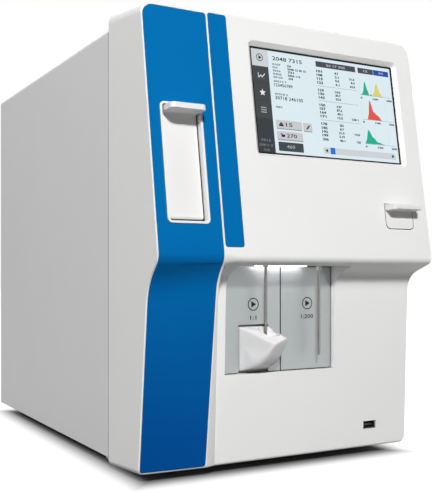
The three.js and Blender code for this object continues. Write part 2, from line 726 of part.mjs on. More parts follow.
function drawerAdapter() {
  const x = drawer.left + drawer.width / 2;
  const y = drawerFace + drawer.block + drawer.wall + clearance + drawer.adapter;
  const floor = drawer.bottom + drawer.wall + clearance;
  const top = floor + drawer.adapterHeight;
  return turned([
    [0, floor], [drawer.adapter, floor], [drawer.adapter, top], [drawer.adapterWell, top],
    [drawer.adapterWell / 2, floor + drawer.wall], [0, floor + drawer.wall],
  ], x, y);
}

function drawerGuide() {
  const gap = clearance;
  const t = drawer.guideWall;
  const front = drawerFace + drawer.guideSetback;
  const outside = box(drawer.left - gap - t, drawerRight + gap + t, front, bracketBack,
    drawer.bottom - gap - t, drawer.top + gap);
  const inside = box(drawer.left - gap, drawerRight + gap, front - over, bracketBack + over,
    drawer.bottom - gap, drawer.top + over);
  return cut(outside, inside);
}

add('sample_drawer', sampleDrawer(), whitePlastic);
add('drawer_adapter', drawerAdapter(), clearPlastic);
add('drawer_guide', drawerGuide(), zincSteel);

// Start plates side by side at the back of the alcove, each on two stems
const leftPlate = { left: alcove.left + runningGap, right: seamX - plate.seam / 2 };
const rightPlate = { left: seamX + plate.seam / 2, right: alcove.right - runningGap };
const plateBottom = alcove.bottom + runningGap;
const plateTop = alcove.top - runningGap;
const middle = ({ left, right }) => (left + right) / 2;
const stemSpots = (side) => [side.left + plate.stemInset, side.right - plate.stemInset];

function startPlate(side, notch) {
  const stemEnd = carrierBack + plate.overrun;
  const panel = box(side.left, side.right, plateFront, plateBack, plateBottom, plateTop);
  const rootY = plateBack - plate.thick / 2;
  const stems = stemSpots(side).map((x) => rod('y', x, plate.stemZ, plate.stem, rootY, stemEnd, pipeSides));
  const boss = rod('y', middle(side), plate.stemZ, plate.boss, rootY, plateBack + plate.bossLength,
    pipeSides);
  const whole = join(panel, boss, ...stems);
  return notch ? cut(whole, notch) : whole;
}

const cupNotch = box(cup.left - runningGap, cup.right + runningGap, plateFront - plate.thick,
  plateBack + plate.thick, plateBottom - over, cup.notchTop);
add('start_plate_left', startPlate(leftPlate, cupNotch), brushedSteel);
add('start_plate_right', startPlate(rightPlate), brushedSteel);

// Carrier behind the plates, with a switch for each
const startSwitch = { half: 6, height: 9, depth: 8, plunger: 1.5, reach: 1.5, board: 1.6 };

function plateCarrier() {
  const outline = rect(alcove.left - alcove.cheek, alcove.right + alcove.cheek, alcove.bottom - alcove.cheek,
    ceilingTop - clearance);
  const spots = [...stemSpots(leftPlate), ...stemSpots(rightPlate)];
  const stemHoles = spots.map((x) => circle(x, plate.stemZ, plate.stem + clearance, pipeSides));
  const plungerHoles = [leftPlate, rightPlate].map((side) => circle(middle(side), plate.stemZ,
    startSwitch.plunger + clearance, smallSides));
  return prism('y', outline, carrierFront, carrierBack, [...stemHoles, ...plungerHoles]);
}

function startSwitches() {
  const front = carrierBack + clearance;
  const back = front + startSwitch.depth;
  const switchAt = (side) => {
    const x = middle(side);
    const body = box(x - startSwitch.half, x + startSwitch.half, front, back,
      plate.stemZ - startSwitch.height, plate.stemZ + startSwitch.height);
    const tip = plateBack + plate.bossLength + plate.stroke + startSwitch.reach;
    return join(body, rod('y', x, plate.stemZ, startSwitch.plunger, tip, front + startSwitch.depth / 2,
      smallSides));
  };
  const board = box(leftPlate.left + plate.stemInset, rightPlate.right - plate.stemInset,
    back - startSwitch.board, back, plate.stemZ + plate.stem + runningGap, plate.stemZ + startSwitch.height);
  return join(board, switchAt(leftPlate), switchAt(rightPlate));
}

add('plate_carrier', plateCarrier(), zincSteel);
add('start_switches', startSwitches(), blackPlastic);

// Rinse cup: a scoop with a dished top that rises to a spout at its right, and a swept belly
function rinseCup() {
  const back = carrierFront - clearance;
  const section = (x, rim) => {
    const belly = new THREE.QuadraticBezierCurve(
      new THREE.Vector2(plateFront, cup.bottom),
      new THREE.Vector2(
        THREE.MathUtils.lerp(plateFront, cupFront, cup.bellyForward),
        THREE.MathUtils.lerp(cup.bottom, rim, cup.bellyRise),
      ),
      new THREE.Vector2(cupFront, rim),
    );
    return {
      x,
      outline: [
        [back, cup.backTop], [plateFront, cup.backTop],
        ...belly.getPoints(manySteps).reverse().map((p) => [p.x, p.y]), [back, cup.bottom],
      ],
    };
  };
  const plan = rounded([
    [cup.left, back, 0],
    [cup.left, plateFront, 0],
    [cup.left + cup.nose, cupFront, cup.noseRound],
    [cup.right, cupFront, cup.spoutRound],
    [cup.right, back, 0],
  ], fewSteps);
  const body = common(
    loft([section(cup.left, cup.rimLeft), section(cup.right, cup.rimRight)]),
    prism('z', plan, cup.bottom - over, cup.backTop + over),
  );
  const x = (cup.left + cup.nose + cup.right) / 2;
  const dish = new THREE.SphereGeometry(cup.dish, roundSides, smallSides);
  dish.scale(cup.dishShare, 1, 1);
  const rimZ = (cup.backTop + (cup.rimLeft + cup.rimRight) / 2) / 2;
  dish.rotateX(Math.atan2(2 * (cup.backTop - rimZ), plateFront - cupFront));
  dish.translate(x, (plateFront + cupFront) / 2, rimZ + cup.dish - cup.dishDepth);
  return cut(body, dish);
}
add('rinse_cup', rinseCup(), clearPlastic);

// Light bar in the ceiling of the alcove
add('alcove_light', box(lightBar.left, lightBar.right, lightFront, lightFront + lightBar.thick,
  alcove.top - clearance, ceilingTop), clearPlastic);

// Sampling needles with their rinse collars, carriages, lead screws, guide rods, motors and brackets
function needleParts(name, x, tip, outward) {
  const headBottom = armBottom;
  const headTop = armBottom + drive.arm + needle.headHeight;
  add(`needle_${name}`, turned([
    [0, tip], [needle.radius * needle.tipShare, tip], [needle.radius, tip + needle.cone],
    [needle.radius, headBottom],
    [needle.headRadius, headBottom], [needle.headRadius, headTop], [0, headTop],
  ], x, needle.y, smallSides), brightSteel);

  const rodX = x + outward * drive.rodOffset;
  const blockFront = screwY - drive.blockHalf;
  const blockLeft = Math.min(x - outward * drive.blockHalf, rodX + outward * drive.rodMargin);
  const blockRight = Math.max(x - outward * drive.blockHalf, rodX + outward * drive.rodMargin);
  const arm = prism('z', rounded([
    [x - drive.armHalf, blockFront + drive.blockHalf, 0],
    [x - drive.armHalf, needle.y - drive.armHalf, drive.armHalf - clearance],
    [x + drive.armHalf, needle.y - drive.armHalf, drive.armHalf - clearance],
    [x + drive.armHalf, blockFront + drive.blockHalf, 0],
  ]), armBottom, armBottom + drive.arm);
  const block = box(blockLeft, blockRight, blockFront, screwY + drive.blockHalf,
    armBottom, armBottom + drive.blockHeight);
  const low = armBottom - over;
  const high = armBottom + over;
  const headBore = rod('z', x, needle.y, needle.headRadius + clearance, low, high, smallSides);
  const rodBore = rod('z', rodX, screwY, drive.rod + clearance, low, high, pipeSides);
  add(`needle_carriage_${name}`, cut(join(arm, block), headBore, rodBore), whitePlastic);
  const screw = rod('z', x, screwY, drive.screw, drive.screwFoot, armBottom - clearance, pipeSides);
  add(`lead_screw_${name}`, screw, brightSteel);

  const motorFoot = drive.bracketFoot + drive.bracket + clearance;
  const motor = roundedBlock(x - drive.motor / 2, x + drive.motor / 2, screwY - drive.motor / 2,
    screwY + drive.motor / 2, motorFoot, motorFoot + drive.motorHeight, sheet);
  const motorBore = rod('z', x, screwY, drive.screw + clearance, motorFoot - over,
    motorFoot + over * 2, pipeSides);
  add(`needle_motor_${name}`, cut(motor, motorBore), blackPlastic);
}

// One channel holds both motors and the two guide rods that are pressed into its ears
function needleFrame() {
  const x0 = needle.leftX - drive.bracketOuter;
  const x1 = needle.rightX + drive.bracketOuter;
  const foot = drive.bracketFoot;
  const top = drive.bracketTop;
  const back = box(x0, x1, bracketFront, bracketBack, foot, top);
  const lowEar = box(x0, x1, bracketFront - drive.earReach, bracketBack, foot, foot + drive.bracket);
  const topEar = box(x0, x1, bracketFront - drive.topEarReach, bracketBack, top - drive.bracket, top);
  const rods = [needle.leftX - drive.rodOffset, needle.rightX + drive.rodOffset].map((x) => rod(
    'z', x, screwY, drive.rod, foot + drive.bracket / 2, top - drive.bracket / 2, pipeSides,
  ));
  const screwHoles = [needle.leftX, needle.rightX].map((x) => rod(
    'z', x, screwY, drive.screw + clearance, foot - over, foot + over, pipeSides,
  ));
  return cut(join(back, lowEar, topEar, ...rods), ...screwHoles);
}
needleParts('left', needle.leftX, needle.leftTip, -1);
needleParts('right', needle.rightX, needle.rightTip, 1);
add('needle_frame', needleFrame(), zincSteel);

function rinseCollar(x, drop) {
  const foot = alcove.top - drop;
  const bore = circle(x, needle.y, collar.bore, smallSides);
  return prism('z', circle(x, needle.y, collar.radius), foot, ceilingTop, [bore]);
}
add('rinse_collar_left', rinseCollar(needle.leftX, collar.dropLeft), whitePlastic);
add('rinse_collar_right', rinseCollar(needle.rightX, collar.dropRight), whitePlastic);

// USB socket soldered to its board, which stands on two posts of the bezel
function usbSocket() {
  const left = usb.left;
  const right = usb.left + usb.width;
  const bottom = usb.bottom;
  const top = usb.bottom + usb.height;
  const t = usb.shell;
  const shell = box(left, right, usbFront, usbFront + usb.depth, bottom, top);
  const room = box(left + t, right - t, usbFront - over, usbFront + usb.depth - t, bottom + t, top - t);
  const board = box(left - usb.margin, right + usb.margin, usbBoardFront, usbBoardFront + usb.board,
    bottom - usb.margin, top + usb.margin);
  return join(cut(shell, room), board);
}
add('usb_socket', usbSocket(), brightSteel);

// Chassis: front frame, base tray, mid wall and rear panel
const chassis = {
  flange: 12, frameRound: 3, window: 10, midX: 30, midDrop: 8.2, baseInset: 2.3, baseFlange: 12,
  vent: 4, ventPitch: 9, ventRound: 1.8, windowMargin: 21.1, windowInset: 51.6, windowDrop: 23.2,
};
chassis.midTop = chassisTop - chassis.midDrop;
const windowSide = chassisHalf - chassis.windowMargin;
const windowLow = { left: -windowSide, right: windowSide, bottom: 25, height: 60 };
const windowHigh = { left: columnRight + chassis.windowInset, right: windowSide, height: 70 };
windowHigh.bottom = chassisTop - chassis.windowDrop - windowHigh.height;

function frontFrame() {
  const bottom = caseBottom - stripDrop;
  const outline = (inset) => rounded([
    [-chassisHalf + inset, bottom + inset, leastRound],
    [chassisHalf - inset, bottom + inset, leastRound],
    [chassisHalf - inset, chassisTop - inset, chassis.frameRound],
    [-chassisHalf + inset, chassisTop - inset, chassis.frameRound],
  ], smallSteps);
  const windows = [windowLow, windowHigh].map(
    (w) => roundedRect(w.left, w.right, w.bottom, w.bottom + w.height, chassis.window, fewSteps),
  );
  const plateBody = prism('y', outline(0), frameFront, frameRear, windows);
  const flange = prism('y', outline(0), frameRear - frameStrip / 2, frameRear + chassis.flange,
    [outline(sheet)]);
  return join(plateBody, flange);
}

function baseTray() {
  const side = chassisHalf - chassis.baseInset;
  const top = baseTop + chassis.baseFlange;
  const tray = box(-side, side, caseFront, rearPanelFront - clearance, caseBottom, top);
  const room = box(-side + sheet, side - sheet, caseFront + sheet, rearPanelFront - clearance - sheet,
    baseTop, top + over);
  return cut(tray, room);
}

add('front_frame', frontFrame(), coatedSteel);
add('base_plate', baseTray(), coatedSteel);

// Case cover: one folded sheet, top and two sides
function caseCover() {
  const shape = (inset, floor) => rounded([
    [-caseHalf + inset, floor, 0],
    [caseHalf - inset, floor, 0],
    [caseHalf - inset, caseTop - inset, caseCorner - inset],
    [-caseHalf + inset, caseTop - inset, caseCorner - inset],
  ]);
  return cut(prism('y', shape(0, caseBottom), caseFront, rearY),
    prism('y', shape(sheet, caseBottom - over), caseFront - over, rearY + over));
}
add('case_cover', caseCover(), coatedSteel);

// Rear panel with the fan grille, the power inlet, the sockets and the hose ports
const fan = {
  offset: 0.55, drop: 83.2, size: 80, depth: 25, bore: 37.5, hub: 16, blade: 34.5, bladeThick: 1.6,
  pitch: degrees(38),
  strut: 4,
};
fan.x = (chassis.midX + sheet + chassisHalf) / 2 - fan.offset;
fan.z = chassisTop - fan.drop;
const fanCount = 7;
const inlet = {
  margin: 41.1, z: 58, width: 28, height: 48, lip: 3, lipThick: 2, depth: 22, socketWidth: 22,
  socketHeight: 16,
  socketDepth: 14, chamfer: 4, pin: 1.2, pinRise: 4, pinReach: 9, socketDrop: 10, rockerRise: 13,
};
inlet.x = chassisHalf - inlet.margin;
const rocker = { width: 20, height: 13, depth: 9, round: 18, rise: 1.6, pivot: 6, tilt: degrees(7) };
const port = {
  sideInset: 33.1, pitch: 22, z: 70, base: 8, stem: 3, barb: 4.2, bore: 1.6, lip: 0.5, length: 14, margin: 9,
};
port.x = port.sideInset - chassisHalf;
const portCount = 5;
const sockets = { wallGap: 30, drop: 105, width: 16, pitch: 26, depth: 14, height: 14, board: 1.6 };
sockets.x = chassis.midX + sheet + sockets.wallGap;
sockets.z = fan.z - fan.size / 2 - sockets.drop;
const socketCount = 4;

function fanSlots() {
  const slots = [];
  for (let z = -fan.bore + chassis.ventPitch / 2; z < fan.bore - chassis.vent; z += chassis.ventPitch) {
    const far = Math.max(Math.abs(z), Math.abs(z + chassis.vent));
    const reach = Math.sqrt(fan.bore * fan.bore - far * far) - chassis.vent;
    if (reach > chassis.vent) {
      const low = fan.z + z;
      slots.push(roundedRect(fan.x - reach, fan.x + reach, low, low + chassis.vent, chassis.ventRound,
        smallSteps));
    }
  }
  return slots;
}

const portSpots = Array.from({ length: portCount }, (_, i) => port.x + i * port.pitch);
const socketSpots = Array.from({ length: socketCount }, (_, i) => sockets.z + i * sockets.pitch);

function rearPanel() {
  const outline = rounded([
    [-chassisHalf, caseBottom + clearance, leastRound],
    [chassisHalf, caseBottom + clearance, leastRound],
    [chassisHalf, chassisTop, chassis.frameRound],
    [-chassisHalf, chassisTop, chassis.frameRound],
  ], smallSteps);
  const inletHole = rect(inlet.x - inlet.width / 2 - clearance, inlet.x + inlet.width / 2 + clearance,
    inlet.z - inlet.height / 2 - clearance, inlet.z + inlet.height / 2 + clearance);
  const portHoles = portSpots.map((x) => circle(x, port.z, port.stem + clearance, smallSides));
  const holeHalf = sockets.width / 2 + clearance;
  const holeRise = sockets.height / 2 + clearance;
  const socketHoles = socketSpots.map((z) => rect(sockets.x - holeHalf, sockets.x + holeHalf,
    z - holeRise, z + holeRise));
  return prism('y', outline, rearPanelFront, rearPanelRear, [inletHole, ...fanSlots(), ...portHoles,
    ...socketHoles]);
}
add('rear_panel', rearPanel(), coatedSteel);

// Fan behind the grille
const fanBack = rearPanelFront - clearance;
const fanFront = fanBack - fan.depth;

function fanFrame() {
  const side = fan.size / 2;
  const ring = prism('y', roundedRect(fan.x - side, fan.x + side, fan.z - side, fan.z + side, fan.strut,
    smallSteps), fanFront, fanBack, [circle(fan.x, fan.z, fan.bore, wideSides)]);
  const hub = rod('y', fan.x, fan.z, fan.hub, fanFront, fanFront + fan.strut, roundSides);
  const cross = [
    box(fan.x - side, fan.x + side, fanFront, fanFront + fan.strut, fan.z - fan.strut / 2,
    fan.z + fan.strut / 2),
    box(fan.x - fan.strut / 2, fan.x + fan.strut / 2, fanFront, fanFront + fan.strut, fan.z - side,
    fan.z + side),
  ];
  return join(ring, hub, ...cross);
}

function fanRotor() {
  const front = fanFront + fan.strut + clearance;
  const back = fanBack - fan.strut / 2;
  const hub = rod('y', 0, 0, fan.hub, front, back, roundSides);
  const swing = (back - front) * Math.tan(fan.pitch) / 2;
  const blades = Array.from({ length: fanCount }, (_, i) => {
    const thin = fan.bladeThick;
    const profile = [
      [front + thin, -swing], [front + thin * 2, -swing], [back - thin, swing], [back - thin * 2, swing],
    ];
    const blade = prism('x', profile, fan.hub - thin, fan.blade);
    return blade.rotateY((2 * Math.PI * i) / fanCount);
  });
  return join(hub, ...blades).translate(fan.x, 0, fan.z);
}
add('fan_frame', fanFrame(), blackPlastic);
add('fan_rotor', fanRotor(), blackPlastic);

// Power inlet: an earthed socket below a rocker switch, in one clip-in body
function powerInlet() {
  const w = inlet.width / 2;
  const h = inlet.height / 2;
  const lipFront = rearPanelRear + clearance;
  const body = box(inlet.x - w, inlet.x + w, rearPanelRear - inlet.depth, lipFront + inlet.lipThick / 2,
    inlet.z - h, inlet.z + h);
  const lip = prism('y', roundedRect(inlet.x - w - inlet.lip, inlet.x + w + inlet.lip,
    inlet.z - h - inlet.lip,
    inlet.z + h + inlet.lip, inlet.lip, smallSteps), lipFront, lipFront + inlet.lipThick);
  const face = lipFront + inlet.lipThick;
  const sz = inlet.z - inlet.socketDrop;
  const sw = inlet.socketWidth / 2;
  const sh = inlet.socketHeight / 2;
  const mouth = prism('y', [
    [inlet.x - sw, sz - sh], [inlet.x + sw, sz - sh], [inlet.x + sw, sz + sh - inlet.chamfer],
    [inlet.x + sw - inlet.chamfer, sz + sh], [inlet.x - sw + inlet.chamfer, sz + sh],
    [inlet.x - sw, sz + sh - inlet.chamfer],
  ], face - inlet.socketDepth, face + over);
  const rz = inlet.z + inlet.rockerRise;
  const rw = rocker.width / 2 + clearance;
  const rh = rocker.height / 2 + runningGap;
  const wellBack = face - rocker.depth - rocker.pivot;
  const well = box(inlet.x - rw, inlet.x + rw, wellBack, face + over, rz - rh, rz + rh);
  const pins = [[0, inlet.pinRise], [-sw / 2, 0], [sw / 2, 0]].map(([dx, dz]) => box(
    inlet.x + dx - inlet.pin, inlet.x + dx + inlet.pin, face - inlet.socketDepth - inlet.pin,
    face - inlet.socketDepth + inlet.pinReach, sz + dz - inlet.pin * 2, sz + dz + inlet.pin * 2,
  ));
  return join(cut(join(body, lip), mouth, well), ...pins);
}

// Rocker: a round-bellied key whose faces slope to its middle
function powerRocker() {
  const face = rearPanelRear + clearance + inlet.lipThick;
  const z = inlet.z + inlet.rockerRise;
  const pivotY = face - rocker.pivot;
  const reach = rocker.height / 2;
  const outline = rounded([
    [pivotY - rocker.pivot / 2, z - rocker.pivot / 2, 0],
    [face - leastRound, z - reach, 0],
    [face + rocker.rise, z - reach + leastRound, 0],
    [face + leastRound, z, rocker.round],
    [face + rocker.rise, z + reach - leastRound, 0],
    [face - leastRound, z + reach, 0],
    [pivotY - rocker.pivot / 2, z + rocker.pivot / 2, 0],
  ], fewSteps);
  const key = prism('x', outline, inlet.x - rocker.width / 2, inlet.x + rocker.width / 2);
  return key.translate(0, -pivotY, -z).rotateX(-rocker.tilt).translate(0, pivotY, z);
}
add('power_inlet', powerInlet(), blackPlastic);
add('power_rocker', powerRocker(), blackPlastic);

// Hose ports with barbs, and the data sockets
function hosePort(x) {
  const root = rearPanelRear + clearance;
  const tip = portTip;
  const third = (tip - root) / 3;
  const profile = [
    [0, rearPanelFront - port.length / 2], [port.stem, rearPanelFront - port.length / 2],
    [port.stem, root], [port.base, root], [port.base, root + third / 2], [port.stem, root + third / 2],
    [port.stem, root + third], [port.barb, root + third], [port.stem, root + 2 * third],
    [port.barb, root + 2 * third], [port.bore + port.lip, tip], [port.bore, tip], [port.bore, root],
    [0, root],
  ];
  return turnedAlongY(profile, x, port.z, smallSides);
}

// The ports stand in one block behind the panel
function reagentPorts() {
  const block = box(portSpots[0] - port.margin, portSpots[portCount - 1] + port.margin,
    rearPanelFront - port.length, rearPanelFront - clearance, port.z - port.margin, port.z + port.margin);
  return join(block, ...portSpots.map(hosePort));
}
add('reagent_ports', reagentPorts(), clearPlastic);

function dataSocket(z) {
  const w = sockets.width / 2;
  const h = sockets.height / 2;
  const back = rearPanelRear + clearance;
  const body = box(sockets.x - w, sockets.x + w, rearPanelFront - sockets.depth, back, z - h, z + h);
  const mouth = box(sockets.x - w + sheet, sockets.x + w - sheet, rearPanelFront - sockets.depth / 2,
    back + over, z - h + sheet, z + h - sheet);
  return cut(body, mouth);
}

// The sockets are soldered to one upright board
function dataSockets() {
  const back = rearPanelFront - sockets.depth + sheet / 2;
  const board = box(sockets.x - sockets.width, sockets.x + sockets.width, back - sockets.board, back,
    socketSpots[0] - sockets.height, socketSpots[socketCount - 1] + sockets.height);
  return join(board, ...socketSpots.map(dataSocket));
}
add('data_sockets', dataSockets(), zincSteel);

// Feet
const foot = { margin: 35, setback: 33.3, rearSetback: 32, radius: 14, footRadius: 12, groove: 2 };
foot.x = half - foot.margin;
foot.frontY = bezelRear + foot.setback;
foot.rearY = rearY - foot.rearSetback;

function footAt(x, y) {
  const top = caseBottom - clearance;
  return turned([
    [0, 0], [foot.footRadius, 0], [foot.radius, top / 2], [foot.radius, top - foot.groove],
    [foot.radius - foot.groove, top], [0, top],
  ], x, y);
}
add('foot_front_left', footAt(-foot.x, foot.frontY), rubber);
add('foot_front_right', footAt(foot.x, foot.frontY), rubber);
add('foot_rear_left', footAt(-foot.x, foot.rearY), rubber);
add('foot_rear_right', footAt(foot.x, foot.rearY), rubber);

// Mid wall: liquids on its left, electronics on its right
const midLeft = chassis.midX;
const midRight = midLeft + sheet;
const seatLeft = midLeft - clearance;
const floorZ = baseTop + clearance;
add('mid_wall', box(midLeft, midRight, caseFront + sheet + clearance,
  rearPanelFront - clearance - sheet - clearance, floorZ, chassis.midTop), zincSteel);

// Counting chambers hang by their rims in the shelf of a bracket
const chamber = {
  wallGap: 26, setback: 67.7, pitch: 62, shelfZ: 210, radius: 14, rim: 18, rimThick: 3, length: 60, cone: 14,
  wall: 2, drain: 3,
};
chamber.x = midLeft - chamber.wallGap;
chamber.firstY = caseFront + chamber.setback;
const bracket = { margin: 12, rise: 45, thick: 3 };
const chamberCount = 2;
const chamberSpots = Array.from({ length: chamberCount }, (_, i) => chamber.firstY + i * chamber.pitch);

function chamberBracket() {
  const y0 = chamberSpots[0] - chamber.rim - bracket.margin;
  const y1 = chamberSpots[chamberCount - 1] + chamber.rim + bracket.margin;
  const back = box(seatLeft - bracket.thick, seatLeft, y0, y1, chamber.shelfZ - bracket.thick,
    chamber.shelfZ + bracket.rise);
  const shelf = prism('z', rect(chamber.x - chamber.rim - bracket.thick, seatLeft - bracket.thick / 2,
    y0, y1), chamber.shelfZ - bracket.thick, chamber.shelfZ,
    chamberSpots.map((y) => circle(chamber.x, y, chamber.radius + clearance)));
  return join(back, shelf);
}

function countingChamber(y) {
  const rimFoot = chamber.shelfZ + clearance;
  const top = rimFoot + chamber.rimThick;
  const foot = top - chamber.length;
  const { radius, wall: t, drain } = chamber;
  return turned([
    [drain / 2, foot - chamber.cone], [drain, foot - chamber.cone], [radius, foot], [radius, rimFoot],
    [chamber.rim, rimFoot], [chamber.rim, top], [radius - t, top], [radius - t, foot],
    [drain / 2, foot - chamber.cone + t], [drain / 2, foot - chamber.cone],
  ], chamber.x, y, pipeSides);
}
add('chamber_bracket', chamberBracket(), zincSteel);
chamberSpots.forEach((y, i) => add(`counting_chamber_${i + 1}`, countingChamber(y), clearPlastic));

// Syringe block: three bores, plungers on one crossbar, and the motor with its screw
const syringe = {
  setback: 237.7, pitch: 24, block: 26, foot: 160, top: 225, bore: 4.5, blockHalf: 34, rod: 4.2, barDrop: 34,
  bar: 8,
  stroke: 25, motor: 24, screw: 2.5, motorTop: 88, enter: 20,
};
syringe.y = caseFront + syringe.setback;
const syringeX = seatLeft - syringe.block / 2;
const boreSpots = [-1, 0, 1].map((side) => syringe.y + side * syringe.pitch);
const screwSpot = syringe.y - syringe.pitch / 2;

function syringeBlock() {
  const body = box(seatLeft - syringe.block, seatLeft, syringe.y - syringe.blockHalf,
    syringe.y + syringe.blockHalf, syringe.foot, syringe.top);
  const bores = boreSpots.map((y) => rod('z', syringeX, y, syringe.bore, syringe.foot - over,
    syringe.top - syringe.bar, pipeSides));
  return cut(body, ...bores);
}

function syringePlungers() {
  const barTop = syringe.foot - syringe.barDrop + syringe.bar;
  const bar = box(seatLeft - syringe.block, seatLeft, syringe.y - syringe.blockHalf,
    syringe.y + syringe.blockHalf, barTop - syringe.bar, barTop);
  const rods = boreSpots.map((y) => rod('z', syringeX, y, syringe.rod, barTop - syringe.bar / 2,
    syringe.foot + syringe.enter + syringe.stroke, pipeSides));
  const nut = rod('z', syringeX, screwSpot, syringe.screw + clearance, barTop - over, barTop + over,
    smallSides);
  return cut(join(bar, ...rods), nut);
}

function syringeMotor() {
  const motorHalf = syringe.motor / 2;
  const body = roundedBlock(seatLeft - syringe.motor, seatLeft, screwSpot - motorHalf, screwSpot + motorHalf,
    syringe.motorTop - syringe.motor, syringe.motorTop, sheet);
  const screw = rod('z', syringeX, screwSpot, syringe.screw, syringe.motorTop - sheet,
    syringe.foot - clearance, smallSides);
  return join(body, screw);
}
add('syringe_block', syringeBlock(), clearPlastic);
add('syringe_plungers', syringePlungers(), brightSteel);
add('syringe_motor', syringeMotor(), blackPlastic);

// Valve manifold on the base with two rows of solenoid valves, between the case and the pump
const pump = {
  wallGap: 40, head: 46, headDepth: 24, motorRadius: 16, setback: 37.7, motorLength: 60, round: 4,
};
pump.x = midLeft - pump.wallGap;
pump.front = caseFront + pump.setback;
const manifold = { offset: 2.05, width: 66, setback: 67.7, length: 200, height: 24 };
manifold.left = (pump.x - pump.head / 2 - chassisHalf - manifold.width) / 2 + manifold.offset;
manifold.right = manifold.left + manifold.width;
manifold.front = caseFront + manifold.setback;
manifold.rear = manifold.front + manifold.length;
const valve = { radius: 9, height: 30, neck: 5, neckHeight: 4, pitch: 40, inset: 20, row: 32 };
const valveRows = [0, 1];
const valveCount = 5;
const manifoldTop = floorZ + manifold.height;

function valveAt(row, i) {
  const x = (manifold.left + manifold.right) / 2 + (row - 1 / 2) * valve.row;
  const y = manifold.front + valve.inset + i * valve.pitch;
  const z = manifoldTop;
  return turned([
    [0, z - sheet], [valve.radius, z - sheet], [valve.radius, z + valve.height],
    [valve.neck, z + valve.height],
    [valve.neck, z + valve.height + valve.neckHeight], [0, z + valve.height + valve.neckHeight],
  ], x, y, smallSides);
}

function valveBank() {
  const block = box(manifold.left, manifold.right, manifold.front, manifold.rear, floorZ, manifoldTop);
  const row = Array.from({ length: valveCount }, (_, i) => i);
  return join(block, ...valveRows.flatMap((side) => row.map((i) => valveAt(side, i))));
}
add('valve_bank', valveBank(), blackPlastic);

// Vacuum pump: a round motor lying behind a square head
function vacuumPump() {
  const z = floorZ + pump.head / 2;
  const head = prism('y', roundedRect(pump.x - pump.head / 2, pump.x + pump.head / 2, floorZ,
    floorZ + pump.head, pump.round, smallSteps), pump.front, pump.front + pump.headDepth);
  const motor = rod('y', pump.x, z, pump.motorRadius, pump.front + pump.headDepth / 2,
    pump.front + pump.headDepth + pump.motorLength);
  return join(head, motor);
}
add('vacuum_pump', vacuumPump(), blackPlastic);

// Power supply and main board, right of the mid wall
const supply = {
  wallGap: 16, margin: 13.1, length: 140, rearGap: 46, height: 55, slotDepth: 3, slot: 4, slotPitch: 12,
};
supply.left = midRight + supply.wallGap;
supply.right = chassisHalf - supply.margin;
supply.rear = rearPanelFront - supply.rearGap;
supply.front = supply.rear - supply.length;

function powerSupply() {
  const top = floorZ + supply.height;
  const body = box(supply.left, supply.right, supply.front, supply.rear, floorZ, top);
  const slots = [];
  for (let y = supply.front + supply.slotPitch; y < supply.rear - supply.slotPitch; y += supply.slotPitch) {
    slots.push(box(supply.left + supply.slotPitch, supply.right - supply.slotPitch, y, y + supply.slot,
      top - supply.slotDepth, top + over));
  }
  return cut(body, ...slots);
}
add('power_supply', powerSupply(), zincSteel);

const board = {
  setback: 27.7, rearGap: 46, bottom: 120, drop: 43.2, thick: 1.6, standoff: 5, standoffRadius: 3, inset: 12,
  chip: 24, chipThick: 3, sink: 40, sinkThick: 14,
};
board.front = caseFront + board.setback;
board.rear = rearPanelFront - board.rearGap;
board.top = chassisTop - board.drop;
const boardLeft = midRight + clearance + board.standoff;

function mainBoard() {
  const right = boardLeft + board.thick;
  const panel = box(boardLeft, right, board.front, board.rear, board.bottom, board.top);
  const midY = (board.front + board.rear) / 2;
  const midZ = (board.bottom + board.top) / 2;
  const chips = [-1, 0, 1].map((side) => box(right - board.thick / 2, right + board.chipThick,
    midY + side * board.chip * 2 - board.chip / 2, midY + side * board.chip * 2 + board.chip / 2,
    midZ + board.sink, midZ + board.sink + board.chip));
  const sink = box(right - board.thick / 2, right + board.sinkThick, midY - board.sink / 2,
    midY + board.sink / 2, midZ - board.sink, midZ);
  const spots = [board.front + board.inset, board.rear - board.inset].flatMap(
    (y) => [board.bottom + board.inset, board.top - board.inset].map((z) => [y, z]),
  );
  const standoffs = spots.map(([y, z]) => rod('x', y, z, board.standoffRadius, midRight + clearance,
    boardLeft + board.thick / 2, smallSides));
  return join(panel, sink, ...chips, ...standoffs);
}

add('main_board', mainBoard(), boardGreen);

export default analyzer;
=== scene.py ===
# Hematology analyzer: looks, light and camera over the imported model. Metres, +Z up, front towards -Y.
import math
import bpy
import bmesh
from mathutils import Matrix, Vector


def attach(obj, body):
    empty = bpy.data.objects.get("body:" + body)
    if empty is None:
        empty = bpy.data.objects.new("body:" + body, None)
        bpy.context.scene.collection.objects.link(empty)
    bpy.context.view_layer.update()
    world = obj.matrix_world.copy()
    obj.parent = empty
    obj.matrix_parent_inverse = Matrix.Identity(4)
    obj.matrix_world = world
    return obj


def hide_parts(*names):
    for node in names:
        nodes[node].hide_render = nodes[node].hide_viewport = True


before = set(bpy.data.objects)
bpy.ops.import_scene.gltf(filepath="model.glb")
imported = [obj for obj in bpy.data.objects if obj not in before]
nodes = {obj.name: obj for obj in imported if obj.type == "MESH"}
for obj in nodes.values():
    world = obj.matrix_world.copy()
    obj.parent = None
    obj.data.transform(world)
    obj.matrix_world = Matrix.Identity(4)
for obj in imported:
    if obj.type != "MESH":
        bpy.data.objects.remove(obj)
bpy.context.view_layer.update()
scene = bpy.context.scene
scene.view_settings.view_transform = "Standard"
mm = 0.001

cameraSetup = {
    "place": (-0.42541, -0.80497, 0.17581), "turn": 28.298, "lens": 59.32,
    "shift": (0.0526, 0.0523), "frame": 36.0, "near": 0.02, "far": 30.0,
}


